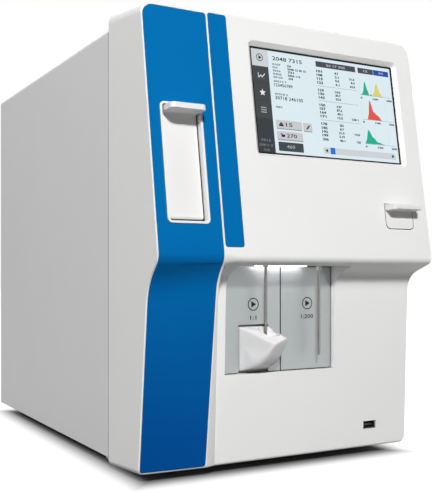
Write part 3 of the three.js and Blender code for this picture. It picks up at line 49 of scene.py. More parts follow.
def makeCamera():
    bpy.ops.object.camera_add(location=cameraSetup["place"],
                              rotation=(math.pi / 2, 0, -math.radians(cameraSetup["turn"])))
    camera = bpy.context.object
    camera.name = "photoCamera"
    camera.data.sensor_width = cameraSetup["frame"]
    camera.data.lens = cameraSetup["lens"]
    camera.data.shift_x, camera.data.shift_y = cameraSetup["shift"]
    camera.data.clip_start = cameraSetup["near"]
    camera.data.clip_end = cameraSetup["far"]
    scene.camera = camera


makeCamera()
print("camera set")

studio = {
    "world": 0.055, "worldColor": (1.0, 0.93, 0.86),
    "floorSize": 16.0, "floorColor": (0.15, 0.15, 0.15), "floorRoughness": 0.9,
    "footprint": (0.138, 0.206), "footprintMiddle": (0.0, 0.017),  # half its width and depth, and its middle
    "glowNear": 0.87, "paintedShadowNear": (-0.012, 0.022),  # the floor's pale tone, rising beside the object; the band before it is full is a painted shadow
    "glowFar": 0.13, "paintedShadeFar": (0.0, 0.20),        # and what is added further out, leaving a wider painted shade near the object
    "lamps": {
        "keyLamp": {"place": (-1.12, -2.35, 1.48), "size": 0.24, "power": 79.0, "color": (1.0, 1.0, 1.0)},
        "sideLamp": {"place": (-1.5, 0.2, 1.7), "size": 1.0, "power": 10.0, "color": (1.0, 0.975, 0.995)},
        "backLamp": {"place": (1.35, 1.9, 1.5), "size": 2.6, "power": 62.0, "color": (1.0, 1.0, 1.0)},
    },
    "aim": (0.0, -0.1, 0.2),
}


def seenDirectly(tree):
    # 1 for what the camera, a reflection or a look through glass meets, 0 for light on the object
    path = tree.nodes.new("ShaderNodeLightPath")
    either = path.outputs["Is Camera Ray"]
    for label in ("Is Glossy Ray", "Is Transmission Ray"):
        join = tree.nodes.new("ShaderNodeMath")
        join.operation = "MAXIMUM"
        tree.links.new(either, join.inputs[0])
        tree.links.new(path.outputs[label], join.inputs[1])
        either = join.outputs[0]
    return either


def makeWorld():
    world = bpy.data.worlds.new("studioWorld")
    world.use_nodes = True
    scene.world = world
    tree = world.node_tree
    tree.nodes.clear()
    out = tree.nodes.new("ShaderNodeOutputWorld")
    soft = tree.nodes.new("ShaderNodeBackground")
    soft.inputs["Strength"].default_value = studio["world"]
    white = tree.nodes.new("ShaderNodeBackground")
    white.inputs["Strength"].default_value = 1.0
    soft.inputs["Color"].default_value = (*studio["worldColor"], 1)
    white.inputs["Color"].default_value = (1, 1, 1, 1)
    mix = tree.nodes.new("ShaderNodeMixShader")
    tree.links.new(seenDirectly(tree), mix.inputs[0])
    tree.links.new(soft.outputs[0], mix.inputs[1])
    tree.links.new(white.outputs[0], mix.inputs[2])
    tree.links.new(mix.outputs[0], out.inputs["Surface"])


def makeLamp(name, values):
    bpy.ops.object.light_add(type="AREA", location=values["place"])
    lamp = bpy.context.object
    lamp.name = name
    lamp.data.size = values["size"]
    lamp.data.energy = values["power"]
    lamp.data.color = values["color"]
    towards = Vector(studio["aim"]) - Vector(values["place"])
    lamp.rotation_euler = towards.to_track_quat("-Z", "Y").to_euler()


def makeFloor():
    bpy.ops.mesh.primitive_plane_add(size=studio["floorSize"])
    floor = bpy.context.object
    floor.name = "studioFloor"
    material = bpy.data.materials.new("paleFloor")
    material.use_nodes = True
    tree = material.node_tree
    shader = tree.nodes["Principled BSDF"]
    shader.inputs["Base Color"].default_value = (*studio["floorColor"], 1)
    shader.inputs["Roughness"].default_value = studio["floorRoughness"]
    # painted shadow: the glow starts at the object's footprint, so that the ground under it and close beside
    # it stays dark
    place = tree.nodes.new("ShaderNodeTexCoord")
    middle = tree.nodes.new("ShaderNodeVectorMath")
    middle.operation = "SUBTRACT"
    middle.inputs[1].default_value = (*studio["footprintMiddle"], 0)
    size = tree.nodes.new("ShaderNodeVectorMath")
    size.operation = "ABSOLUTE"
    beyond = tree.nodes.new("ShaderNodeVectorMath")
    beyond.operation = "SUBTRACT"
    beyond.inputs[1].default_value = (*studio["footprint"], 0)
    parts = tree.nodes.new("ShaderNodeSeparateXYZ")
    reach = tree.nodes.new("ShaderNodeMath")
    reach.operation = "MAXIMUM"
    total = tree.nodes.new("ShaderNodeMath")
    total.operation = "ADD"
    tree.links.new(place.outputs["Object"], middle.inputs[0])
    tree.links.new(middle.outputs[0], size.inputs[0])
    tree.links.new(size.outputs[0], beyond.inputs[0])
    tree.links.new(beyond.outputs[0], parts.inputs[0])
    # the painted shadow is darkest at the footprint and fades out over each reach
    for i in (0, 1):
        tree.links.new(parts.outputs[i], reach.inputs[i])
        fade = tree.nodes.new("ShaderNodeMapRange")
        fade.interpolation_type = "SMOOTHSTEP"
        limits = studio[("paintedShadowNear", "paintedShadeFar")[i]]
        fade.inputs["From Min"].default_value, fade.inputs["From Max"].default_value = limits
        fade.inputs["To Max"].default_value = studio[("glowNear", "glowFar")[i]]
        tree.links.new(reach.outputs[0], fade.inputs["Value"])
        tree.links.new(fade.outputs["Result"], total.inputs[i])
    glow = tree.nodes.new("ShaderNodeMath")
    glow.operation = "MULTIPLY"
    tree.links.new(seenDirectly(tree), glow.inputs[0])
    tree.links.new(total.outputs[0], glow.inputs[1])
    shader.inputs["Emission Color"].default_value = (1, 1, 1, 1)
    tree.links.new(glow.outputs[0], shader.inputs["Emission Strength"])
    floor.data.materials.append(material)


makeWorld()
for name, values in studio["lamps"].items():
    makeLamp(name, values)
makeFloor()
print("studio set")


# Shared effects, each a node group with named inputs
effects = {
    "fineDetail": 3.0, "broadDetail": 2.0, "reliefHeight": 0.0001,
    "edgeSamples": 4, "edgeAlike": (0.97, 0.78),   # how alike the true and the rounded normal are, to worn
    "gapSamples": 6, "gapOpen": (0.62, 0.12),      # how open a place is, to shaded
}


def makeGroup(name, inputs, outputs):
    group = bpy.data.node_groups.new(name, "ShaderNodeTree")
    for label, value in inputs.items():
        kind = "NodeSocketVector" if isinstance(value, tuple) else "NodeSocketFloat"
        group.interface.new_socket(label, in_out="INPUT", socket_type=kind).default_value = value
    for label, kind in outputs.items():
        group.interface.new_socket(label, in_out="OUTPUT", socket_type=kind)
    return group, group.nodes.new("NodeGroupInput"), group.nodes.new("NodeGroupOutput")


def surfaceGrain():
    # fine relief and a broad, faint mottle; Stretch draws the relief out for brushed metal
    group, given, out = makeGroup(
        "surfaceGrain",
        {"Scale": 900.0, "Stretch": (1.0, 1.0, 1.0), "Relief": 0.2, "Mottle Scale": 18.0},
        {"Normal": "NodeSocketVector", "Mottle": "NodeSocketFloat", "Fleck": "NodeSocketFloat"},
    )
    place = group.nodes.new("ShaderNodeTexCoord")
    draw = group.nodes.new("ShaderNodeVectorMath")
    draw.operation = "MULTIPLY"
    fine = group.nodes.new("ShaderNodeTexNoise")
    fine.inputs["Detail"].default_value = effects["fineDetail"]
    broad = group.nodes.new("ShaderNodeTexNoise")
    broad.inputs["Detail"].default_value = effects["broadDetail"]
    bump = group.nodes.new("ShaderNodeBump")
    bump.inputs["Distance"].default_value = effects["reliefHeight"]
    link = group.links.new
    link(place.outputs["Object"], draw.inputs[0])
    link(given.outputs["Stretch"], draw.inputs[1])
    link(draw.outputs[0], fine.inputs["Vector"])
    link(given.outputs["Scale"], fine.inputs["Scale"])
    link(place.outputs["Object"], broad.inputs["Vector"])
    link(given.outputs["Mottle Scale"], broad.inputs["Scale"])
    link(fine.outputs["Fac"], bump.inputs["Height"])
    link(given.outputs["Relief"], bump.inputs["Strength"])
    link(bump.outputs["Normal"], out.inputs["Normal"])
    link(broad.outputs["Fac"], out.inputs["Mottle"])
    link(fine.outputs["Fac"], out.inputs["Fleck"])
    return group


def edgeWearAndGapShade():
    # Edge is 1 along outer edges, for wear, and Crevice is 1 deep in gaps and corners, where shade gathers
    # and is painted in as a darker tone
    group, given, out = makeGroup(
        "edgeWearAndGapShade", {"Edge Width": 0.0006, "Crevice Reach": 0.003},
        {"Edge": "NodeSocketFloat", "Crevice": "NodeSocketFloat"},
    )
    rounded = group.nodes.new("ShaderNodeBevel")
    rounded.samples = effects["edgeSamples"]
    facing = group.nodes.new("ShaderNodeNewGeometry")
    alike = group.nodes.new("ShaderNodeVectorMath")
    alike.operation = "DOT_PRODUCT"
    edge = group.nodes.new("ShaderNodeMapRange")
    edge.inputs["From Min"].default_value, edge.inputs["From Max"].default_value = effects["edgeAlike"]
    hidden = group.nodes.new("ShaderNodeAmbientOcclusion")
    hidden.samples = effects["gapSamples"]
    crevice = group.nodes.new("ShaderNodeMapRange")
    crevice.inputs["From Min"].default_value, crevice.inputs["From Max"].default_value = effects["gapOpen"]
    exposed = group.nodes.new("ShaderNodeMath")
    exposed.operation = "MULTIPLY"
    link = group.links.new
    link(given.outputs["Edge Width"], rounded.inputs["Radius"])
    link(rounded.outputs[0], alike.inputs[0])
    link(facing.outputs["Normal"], alike.inputs[1])
    link(alike.outputs["Value"], edge.inputs["Value"])
    link(given.outputs["Crevice Reach"], hidden.inputs["Distance"])
    link(hidden.outputs["AO"], crevice.inputs["Value"])
    link(edge.outputs["Result"], exposed.inputs[0])
    link(hidden.outputs["AO"], exposed.inputs[1])
    link(exposed.outputs[0], out.inputs["Edge"])
    link(crevice.outputs["Result"], out.inputs["Crevice"])
    return group


grainGroup = surfaceGrain()
wearAndShadeGroup = edgeWearAndGapShade()


def tintBy(tree, source, mask, amount, color):
    # lays a colour over another where the mask says, by at most the amount
    share = tree.nodes.new("ShaderNodeMath")
    share.operation = "MULTIPLY"
    share.inputs[1].default_value = amount
    over = tree.nodes.new("ShaderNodeMix")
    over.data_type = "RGBA"
    over.inputs["B"].default_value = (*color, 1)
    tree.links.new(mask, share.inputs[0])
    tree.links.new(share.outputs[0], over.inputs["Factor"])
    tree.links.new(source, over.inputs["A"])
    return over.outputs["Result"]


def finish(name, color, darker, rough, roughSpread=0.08, scale=900.0, stretch=(1, 1, 1), relief=0.2,
           mottle=18.0, fleck=False, worn=None, paintedGapShade=None, **sockets):
    # worn and the gap tone are each an amount and a colour: wear on the outer edges, and painted shade in the
    # gaps; sockets are plain values
    material = bpy.data.materials.new(name)
    material.use_nodes = True
    tree = material.node_tree
    shader = tree.nodes["Principled BSDF"]
    grain = tree.nodes.new("ShaderNodeGroup")
    grain.node_tree = grainGroup
    grain.inputs["Scale"].default_value = scale
    grain.inputs["Stretch"].default_value = stretch
    grain.inputs["Relief"].default_value = relief
    grain.inputs["Mottle Scale"].default_value = mottle
    spread = tree.nodes.new("ShaderNodeMix")
    spread.data_type = "RGBA"
    spread.inputs["A"].default_value = (*darker, 1)
    spread.inputs["B"].default_value = (*color, 1)
    tree.links.new(grain.outputs["Fleck" if fleck else "Mottle"], spread.inputs["Factor"])
    tone = spread.outputs["Result"]
    if worn or paintedGapShade:
        wearAndShade = tree.nodes.new("ShaderNodeGroup")
        wearAndShade.node_tree = wearAndShadeGroup
        if worn:
            tone = tintBy(tree, tone, wearAndShade.outputs["Edge"], *worn)
        # painted shade: a darker tone where gaps and corners hide the light
        if paintedGapShade:
            tone = tintBy(tree, tone, wearAndShade.outputs["Crevice"], *paintedGapShade)
    tree.links.new(tone, shader.inputs["Base Color"])
    level = tree.nodes.new("ShaderNodeMapRange")
    level.inputs["To Min"].default_value = rough - roughSpread / 2
    level.inputs["To Max"].default_value = rough + roughSpread / 2
    tree.links.new(grain.outputs["Fleck"], level.inputs["Value"])
    tree.links.new(level.outputs["Result"], shader.inputs["Roughness"])
    tree.links.new(grain.outputs["Normal"], shader.inputs["Normal"])
    for label, value in sockets.items():
        shader.inputs[label.replace("_", " ")].default_value = value
    return material


# painted shade for gaps and corners, as an amount and a dark colour
gapShade = (0.85, (0.06, 0.052, 0.045))
whitePlastic = finish("whitePlastic", (0.815, 0.815, 0.808), (0.785, 0.785, 0.778), 0.46, scale=1400,
                      relief=0.10, worn=(0.35, (0.90, 0.90, 0.89)), paintedGapShade=gapShade, Specular_IOR_Level=0.35)
doorPlastic = finish("doorPlastic", (0.78, 0.775, 0.77), (0.75, 0.745, 0.74), 0.44, scale=1400, relief=0.10,
                     worn=(0.5, (0.90, 0.90, 0.89)), paintedGapShade=gapShade, Specular_IOR_Level=0.35)
casePaint = finish("casePaint", (0.70, 0.70, 0.71), (0.67, 0.67, 0.68), 0.5, scale=700, relief=0.35,
                   worn=(0.4, (0.78, 0.78, 0.79)), paintedGapShade=gapShade)
blueFilm = finish("blueFilm", (0.0, 0.146, 0.41), (0.0, 0.136, 0.38), 0.5, scale=2200, relief=0.05,
                  Specular_IOR_Level=0.05)
# painted shade: the film darkens slowly from the chin down to the foot
paintedFilmShade = {"top": 0.212, "bottom": 0.035, "amount": 1.0, "foot": (0.0, 0.074, 0.30)}  # heights in metres


def deepenDown(material, values):
    tree = material.node_tree
    base = tree.nodes["Principled BSDF"].inputs["Base Color"]
    place = tree.nodes.new("ShaderNodeTexCoord")
    parts = tree.nodes.new("ShaderNodeSeparateXYZ")
    low = tree.nodes.new("ShaderNodeMapRange")
    low.inputs["From Min"].default_value = values["top"]
    low.inputs["From Max"].default_value = values["bottom"]
    tree.links.new(place.outputs["Object"], parts.inputs[0])
    tree.links.new(parts.outputs["Z"], low.inputs["Value"])
    # the painted shade, laid over the film's own blue by height
    tone = tintBy(tree, base.links[0].from_socket, low.outputs["Result"], values["amount"], values["foot"])
    tree.links.new(tone, base)


deepenDown(blueFilm, paintedFilmShade)
blackPlastic = finish("blackPlastic", (0.022, 0.022, 0.024), (0.014, 0.014, 0.015), 0.5, scale=1200,
                      relief=0.25, worn=(0.5, (0.07, 0.07, 0.075)))
screenGlass = finish("screenGlass", (0.012, 0.014, 0.017), (0.009, 0.010, 0.013), 0.12, 0.04, 60, relief=0.0)
brushedPlate = finish("brushedPlate", (0.42, 0.445, 0.445), (0.37, 0.395, 0.395), 0.42, 0.16, 2600,
                      stretch=(1, 1, 0.02), relief=0.10, fleck=True, worn=(0.8, (0.62, 0.64, 0.64)),
                      paintedGapShade=gapShade, Metallic=0.65)
brightSteel = finish("brightSteel", (0.62, 0.61, 0.59), (0.52, 0.51, 0.50), 0.24, 0.1, 1800,
                     stretch=(1, 1, 0.05), relief=0.06, fleck=True, Metallic=1.0)
needleSteel = finish("needleSteel", (0.27, 0.255, 0.24), (0.20, 0.19, 0.18), 0.28, 0.1, 1800,
                     stretch=(1, 1, 0.05), relief=0.05, fleck=True, Metallic=1.0)
darkShell = finish("darkShell", (0.05, 0.045, 0.04), (0.035, 0.03, 0.028), 0.4, 0.1, 700, relief=0.1,
                   Metallic=0.6)
zincSteel = finish("zincSteel", (0.50, 0.52, 0.52), (0.40, 0.42, 0.43), 0.42, 0.14, 90, relief=0.12,
                   mottle=120, worn=(0.5, (0.68, 0.70, 0.70)), Metallic=0.9)
softRubber = finish("softRubber", (0.022, 0.022, 0.022), (0.014, 0.014, 0.014), 0.82, scale=800, relief=0.4,
                    worn=(0.4, (0.06, 0.06, 0.06)))
milkyPlastic = finish("milkyPlastic", (0.70, 0.70, 0.705), (0.665, 0.665, 0.67), 0.34, scale=600, relief=0.08,
                      Subsurface_Weight=0.25, Subsurface_Scale=0.004)
circuitBoard = finish("circuitBoard", (0.02, 0.14, 0.05), (0.015, 0.10, 0.035), 0.38, scale=300, relief=0.15)
lightDiffuser = finish("lightDiffuser", (0.90, 0.92, 0.94), (0.88, 0.90, 0.93), 0.4, scale=500, relief=0.05,
                       Emission_Color=(1.0, 0.92, 0.97, 1), Emission_Strength=20.0)
contactGold = finish("contactGold", (0.50, 0.32, 0.10), (0.40, 0.25, 0.07), 0.3, scale=1500, relief=0.05,
                     Metallic=1.0)
# painted shadow: the dark tone of the strip in the tube door's gap
gapShadowBlack = finish("gapShadowBlack", (0.030, 0.024, 0.020), (0.018, 0.014, 0.012), 0.95, scale=1500, relief=0.6)
sealBlack = finish("sealBlack", (0.012, 0.011, 0.010), (0.008, 0.008, 0.007), 0.7, relief=0.05,
                   Specular_IOR_Level=0.1)
markPrint = finish("markPrint", (0.012, 0.012, 0.013), (0.009, 0.009, 0.010), 0.6, relief=0.05,
                   Specular_IOR_Level=0.2)
print("materials made")


def pick(piece):
    bpy.ops.object.select_all(action="DESELECT")
    piece.select_set(True)
    bpy.context.view_layer.objects.active = piece


def applyModifier(piece, kind, **values):
    pick(piece)
    modifier = piece.modifiers.new(kind.title(), kind)
    for key, value in values.items():
        setattr(modifier, key, value)
    bpy.ops.object.modifier_apply(modifier=modifier.name)


shaping = {"smoothAngle": 35, "mergeWithin": 0.00001, "flatWithin": 0.5, "bevelAngle": 40, "bevelSteps": 2}


def settle(piece, name, material, body, angle=shaping["smoothAngle"], flatFaces=False):
    # the last steps of every new piece: its name, place, smoothing, finish and body
    piece.name = name
    piece.data.name = name
    pick(piece)
    bpy.ops.object.transform_apply(location=True, rotation=True, scale=True)
    bpy.ops.object.shade_smooth_by_angle(angle=math.radians(angle))
    if flatFaces:  # large faces stay flat in their shading, and the rounding stays on the edges
        applyModifier(piece, "WEIGHTED_NORMAL", keep_sharp=True, mode="FACE_AREA", weight=100)
    piece.data.materials.clear()
    piece.data.materials.append(material)
    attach(piece, body)


def addBlock(x0, x1, y0, y1, z0, z1, edge=0.0, segments=2):
    # a box between two corners in millimetres, with its edges rounded
    sides = ((x0, x1), (y0, y1), (z0, z1))
    bpy.ops.object.select_all(action="DESELECT")
    bpy.ops.mesh.primitive_cube_add(size=1, location=[(a + b) / 2 * mm for a, b in sides],
                                    scale=[(b - a) * mm for a, b in sides])
    block = bpy.context.object
    bpy.ops.object.transform_apply(location=True, rotation=True, scale=True)
    if edge:
        bpy.ops.object.mode_set(mode="EDIT")
        bpy.ops.mesh.select_all(action="SELECT")
        bpy.ops.mesh.bevel(offset=edge * mm, segments=segments, affect="EDGES")
        bpy.ops.object.mode_set(mode="OBJECT")
    return block


def joinParts(parts):
    bpy.ops.object.select_all(action="DESELECT")
    for part in parts:
        part.select_set(True)
    bpy.context.view_layer.objects.active = parts[0]
    bpy.ops.object.join()
    return bpy.context.object


def copyNode(nodeName):
    # a merged copy of a CAD node's mesh, with its flat faces joined
    mesh = nodes[nodeName].data.copy()
    piece = bpy.data.objects.new(nodeName + "Copy", mesh)
    scene.collection.objects.link(piece)
    pick(piece)
    bpy.ops.mesh.customdata_custom_splitnormals_clear()
    bpy.ops.object.mode_set(mode="EDIT")
    bpy.ops.mesh.select_all(action="SELECT")
    bpy.ops.mesh.remove_doubles(threshold=shaping["mergeWithin"])
    bpy.ops.mesh.dissolve_limited(angle_limit=math.radians(shaping["flatWithin"]))
    bpy.ops.object.mode_set(mode="OBJECT")
    return piece


def dress(nodeName, name, material, body, edge):
    # the CAD node's shape with softened edges, shown in its place
    piece = copyNode(nodeName)
    if edge:
        applyModifier(piece, "BEVEL", width=edge * mm, segments=shaping["bevelSteps"], limit_method="ANGLE",
                      angle_limit=math.radians(shaping["bevelAngle"]), use_clamp_overlap=True)
    settle(piece, name, material, body, flatFaces=bool(edge))
    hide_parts(nodeName)


# The parts that show: node, then the piece's name, its finish, its body and its edge radius in millimetres
housing = {
    "front_bezel": ("bezelShell", whitePlastic, "chassis", 0.5),
    "blue_panel_main": ("blueOverlay", blueFilm, "chassis", 0.0),
    "blue_panel_side": ("blueStrip", blueFilm, "chassis", 0.2),
    "case_cover": ("caseSheet", casePaint, "chassis", 0.4),
    "front_frame": ("frameStrip", casePaint, "chassis", 0.4),
    "rear_panel": ("rearSheet", casePaint, "chassis", 0.3),
    "base_plate": ("baseTray", casePaint, "chassis", 0.4),
    "touch_glass": ("touchGlass", screenGlass, "chassis", 0.2),
    "door_housing": ("doorSurround", whitePlastic, "chassis", 0.5),
    "door_leaf": ("doorLeaf", doorPlastic, "door", 0.5),
    "door_tube_holder": ("doorTubeHolder", doorPlastic, "door", 0.4),
    "sample_drawer": ("drawerFront", doorPlastic, "drawer", 0.5),
    "drawer_adapter": ("drawerAdapter", milkyPlastic, "drawer", 0.4),
    "start_plate_left": ("startPlateLeft", brushedPlate, "start_left", 0.4),
    "start_plate_right": ("startPlateRight", brushedPlate, "start_right", 0.8),
    "needle_left": ("needleLeft", needleSteel, "needle_set_left", 0.0),
    "needle_right": ("needleRight", needleSteel, "needle_set_right", 0.0),
    "rinse_collar_left": ("collarLeft", whitePlastic, "chassis", 0.2),
    "rinse_collar_right": ("collarRight", whitePlastic, "chassis", 0.2),
    "usb_socket": ("usbSocket", darkShell, "chassis", 0.1),
    "power_inlet": ("powerInlet", blackPlastic, "chassis", 0.4),
    "power_rocker": ("powerRocker", blackPlastic, "rocker", 0.4),
    "data_sockets": ("dataSockets", zincSteel, "chassis", 0.2),
    "reagent_ports": ("hosePorts", milkyPlastic, "chassis", 0.2),
    "fan_frame": ("fanFrame", blackPlastic, "chassis", 0.3),
    "fan_rotor": ("fanRotor", blackPlastic, "rotor", 0.2),
    "foot_front_left": ("footFrontLeft", softRubber, "chassis", 0.4),
    "foot_front_right": ("footFrontRight", softRubber, "chassis", 0.4),
    "foot_rear_left": ("footRearLeft", softRubber, "chassis", 0.4),
    "foot_rear_right": ("footRearRight", softRubber, "chassis", 0.4),
}
for nodeName, (name, material, body, edge) in housing.items():
    dress(nodeName, name, material, body, edge)
print("housing dressed")

# Rubber trim on the front edge of the case, which shows as a thin dark line at the seam
seamTrim = {"rear": -127.0, "proud": 0.14}


def makeSeamTrim():
    trim = copyNode("case_cover")
    bpy.ops.object.mode_set(mode="EDIT")
    bpy.ops.mesh.select_all(action="SELECT")
    bpy.ops.mesh.bisect(plane_co=(0, seamTrim["rear"] * mm, 0), plane_no=(0, 1, 0), use_fill=True,
                        clear_outer=True)
    bpy.ops.mesh.select_all(action="SELECT")
    bpy.ops.mesh.normals_make_consistent(inside=False)
    bpy.ops.object.mode_set(mode="OBJECT")
    applyModifier(trim, "DISPLACE", strength=seamTrim["proud"] * mm, mid_level=0.0)
    settle(trim, "seamTrim", softRubber, "chassis")


makeSeamTrim()
print("seam trim made")

# The rinse cup is a soft moulded form, so its creases are melted together
rinseCup = {
    "voxel": 0.55, "melt": 0.6, "rounds": 14, "smoothAngle": 75, "group": "belly",
    "bellyTop": 112, "bellyFull": 98, "front": -195, "frontFull": -207,  # where the belly starts and is full
    "bellyOut": 1.8, "bellyRounds": 80,
}


def makeRinseCup():
    cup = copyNode("rinse_cup")
    applyModifier(cup, "REMESH", mode="VOXEL", voxel_size=rinseCup["voxel"] * mm)
    # the belly below the rim is fuller and rounder than the rim itself
    belly = cup.vertex_groups.new(name=rinseCup["group"])
    for vertex in cup.data.vertices:
        down = (rinseCup["bellyTop"] - vertex.co.z / mm) / (rinseCup["bellyTop"] - rinseCup["bellyFull"])
        forward = (rinseCup["front"] - vertex.co.y / mm) / (rinseCup["front"] - rinseCup["frontFull"])
        part = max(0, min(down, forward, 1))
        belly.add([vertex.index], part * part * (3 - 2 * part), "REPLACE")
    # from here the group goes by its name, since belly no longer holds once a modifier has been applied
    applyModifier(cup, "DISPLACE", strength=rinseCup["bellyOut"] * mm, mid_level=0.0,
                  vertex_group=rinseCup["group"])
    applyModifier(cup, "SMOOTH", factor=rinseCup["melt"], iterations=rinseCup["rounds"])
    applyModifier(cup, "SMOOTH", factor=rinseCup["melt"], iterations=rinseCup["bellyRounds"],
                  vertex_group=rinseCup["group"])
    cup.vertex_groups.clear()
    settle(cup, "rinseCup", milkyPlastic, "chassis", angle=rinseCup["smoothAngle"])
    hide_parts("rinse_cup")


makeRinseCup()
print("rinse cup made")

# Printed and lit marks: flat outlines and plain numbers, laid on a surface as one thin piece
lettering = {"steps": 2, "smallBelow": 2.6, "smallBold": 0.04, "bold": 0.012, "thick": 0.04}


def toLinear(color):
    return tuple(((v / 255 + 0.055) / 1.055) ** 2.4 if v > 10 else v / 255 / 12.92 for v in color)


def placeOn(origin, lean):
    # local X to the right, Y up the surface and Z out of it; lean is the surface's tilt in degrees
    return Matrix.Translation(Vector(origin) * mm) @ Matrix.Rotation(math.radians(90 - lean), 4, "X")


def drawOutlines(outlines):
    curve = bpy.data.curves.new("outlines", "CURVE")
    curve.dimensions = "2D"
    curve.fill_mode = "BOTH"
    for outline in outlines:
        spline = curve.splines.new("POLY")
        spline.points.add(len(outline) - 1)
        for point, (x, y) in zip(spline.points, outline):
            point.co = (x * mm, y * mm, 0, 1)
        spline.use_cyclic_u = True
    drawn = bpy.data.objects.new("outlines", curve)
    scene.collection.objects.link(drawn)
    return drawn


def writeNumber(text, left, right, middle, height):
    # a number drawn to fill its place, or centred on left in its own width when right is None
    bpy.ops.object.text_add(location=(0, 0, 0))
    number = bpy.context.object
    number.data.body = text
    number.data.resolution_u = lettering["steps"]
    number.data.offset = lettering["smallBold" if height < lettering["smallBelow"] else "bold"]
    bpy.context.view_layer.update()
    low, high = Vector(number.bound_box[0]), Vector(number.bound_box[6])
    tall = height / (high.y - low.y) * mm
    wide = tall if right is None else (right - left) / (high.x - low.x) * mm
    start = left * mm - (low.x if right is not None else (low.x + high.x) / 2) * wide
    number.scale = (wide, tall, 1)
    number.location = (start, middle * mm - (low.y + high.y) / 2 * tall, 0)
    return number


def layPrint(name, outlines, numbers, place, lift, material, body, thick=lettering["thick"]):
    parts = [drawOutlines(outlines)] if outlines else []
    parts += [writeNumber(*entry) for entry in numbers]
    bpy.ops.object.select_all(action="DESELECT")
    for part in parts:
        part.select_set(True)
    bpy.context.view_layer.objects.active = parts[0]
    bpy.ops.object.convert(target="MESH")
    bpy.ops.object.transform_apply(location=True, rotation=True, scale=True)
    if len(parts) > 1:
        bpy.ops.object.join()
    piece = bpy.context.object
    applyModifier(piece, "SOLIDIFY", thickness=thick * mm, offset=0)
    piece.matrix_world = place @ Matrix.Translation((0, 0, lift * mm))
    settle(piece, name, material, body)


def rect(left, right, top, bottom):
    return [(left, bottom), (right, bottom), (right, top), (left, top)]


def disc(x, y, radius, sides=32):
    turns = [2 * math.pi * i / sides for i in range(sides)]
    return [(x + radius * math.cos(a), y + radius * math.sin(a)) for a in turns]


def softRect(left, right, top, bottom, radius, steps=4):
    outline = []
    for corner, (x, y) in enumerate(((right - radius, bottom - radius), (left + radius, bottom - radius),
                                     (left + radius, top + radius), (right - radius, top + radius))):
        for step in range(steps + 1):
            angle = math.pi / 2 * (corner + step / steps)
            outline.append((x + radius * math.cos(angle), y + radius * math.sin(angle)))
    return outline


def star(x, y, outer, inner, points=5):
    outline = []
    for i in range(2 * points):
        radius, angle = (outer, inner)[i % 2], math.pi * i / points
        outline.append((x + radius * math.sin(angle), y - radius * math.cos(angle)))
    return outline


def peak(points, steps=5):
    # a smooth line through low and high points, closed along its base
    outline = []
    for (x0, y0), (x1, y1) in zip(points, points[1:]):
        for step in range(steps):
            share = step / steps
            ease = (1 - math.cos(math.pi * share)) / 2
            outline.append((x0 + (x1 - x0) * share, y0 + (y1 - y0) * ease))
    return outline + [points[-1]]


# Screen picture, laid out in eighths of a millimetre from its corner, down the glass
page = {
    "corner": (-43.0, 22.0), "step": 0.125, "glass": 4.3,  # its first corner, its unit and how deep it lies
    "faceTop": (0.0, -197.0, 401.93), "faceLean": 8.8698,
    "glow": 0.96, "waver": 0.04, "layer": 0.05, "thick": 0.03, "frame": (40, 1322, 39, 797),
    "seal": {"outer": (36, 1332, 28, 804), "lift": 0.55, "thick": 1.1},  # the dark gap round the glass
    "inks": {
        "paper": (222, 238, 244), "slate": (62, 69, 71), "night": (52, 57, 62), "header": (66, 72, 79),
        "tile": (206, 212, 216), "button": (203, 204, 207), "edge": (150, 153, 158),
        "deepBlue": (12, 72, 178), "thumb": (22, 112, 216), "green": (24, 176, 142),
        "yellow": (222, 212, 112), "red": (228, 82, 66), "rule": (150, 168, 176), "faint": (202, 220, 228),
        "label": (104, 116, 122), "ink": (14, 17, 20), "soft": (172, 176, 182),
        "white": (244, 246, 247), "black": (28, 30, 33),
    },
    "rows": (140, 169, 198, 228, 286, 313, 342, 400, 428, 456, 486, 543, 573, 602, 630, 660),
    "values": ("8.7", "2.1", "0.5", "6.1", "14.0", "30.7", "33.0", "4.57", "87.6", "40.1", "13.5", "254",
               "8.7", "31.9", "2.19", "40.1"),
    "seconds": {169: "31.0", 198: "8.4", 228: "62.0", 486: "120.1", 602: "14.0", 660: "120"},
    "valueRight": 812, "secondRight": 960, "pitch": 12.5,  # right edges of the columns, and a figure's width
    "chartBases": (277, 470, 662), "chartAxis": (1002, 1300), "scaleRows": (303, 493, 686),
}


def onPage(x, y):
    return page["corner"][0] + x * page["step"], -(page["corner"][1] + y * page["step"])


def inkMaterial(name, color):
    # a lit picture element: its colour wavers a little, and the dark glass below keeps its gloss
    tint = toLinear(color)
    material = finish(name, (0.008, 0.008, 0.008), (0.005, 0.005, 0.005), 0.35, 0.05, 2400, relief=0.02,
                      Specular_IOR_Level=0.1, Emission_Strength=page["glow"])
    tree = material.node_tree
    grain = next(node for node in tree.nodes if node.type == "GROUP")
    waver = tree.nodes.new("ShaderNodeMix")
    waver.data_type = "RGBA"
    waver.inputs["A"].default_value = (*(v * (1 - page["waver"]) for v in tint), 1)
    waver.inputs["B"].default_value = (*(min(v * (1 + page["waver"]), 1.0) for v in tint), 1)
    tree.links.new(grain.outputs["Mottle"], waver.inputs["Factor"])
    tree.links.new(waver.outputs["Result"], tree.nodes["Principled BSDF"].inputs["Emission Color"])
    return material


def rightNumber(text, right, row, size):
    return text, right - page["pitch"] * len(text), right, row, size


def midNumber(text, middle, row, size=15, half=9):
    return text, middle - half * len(text), middle + half * len(text), row, size


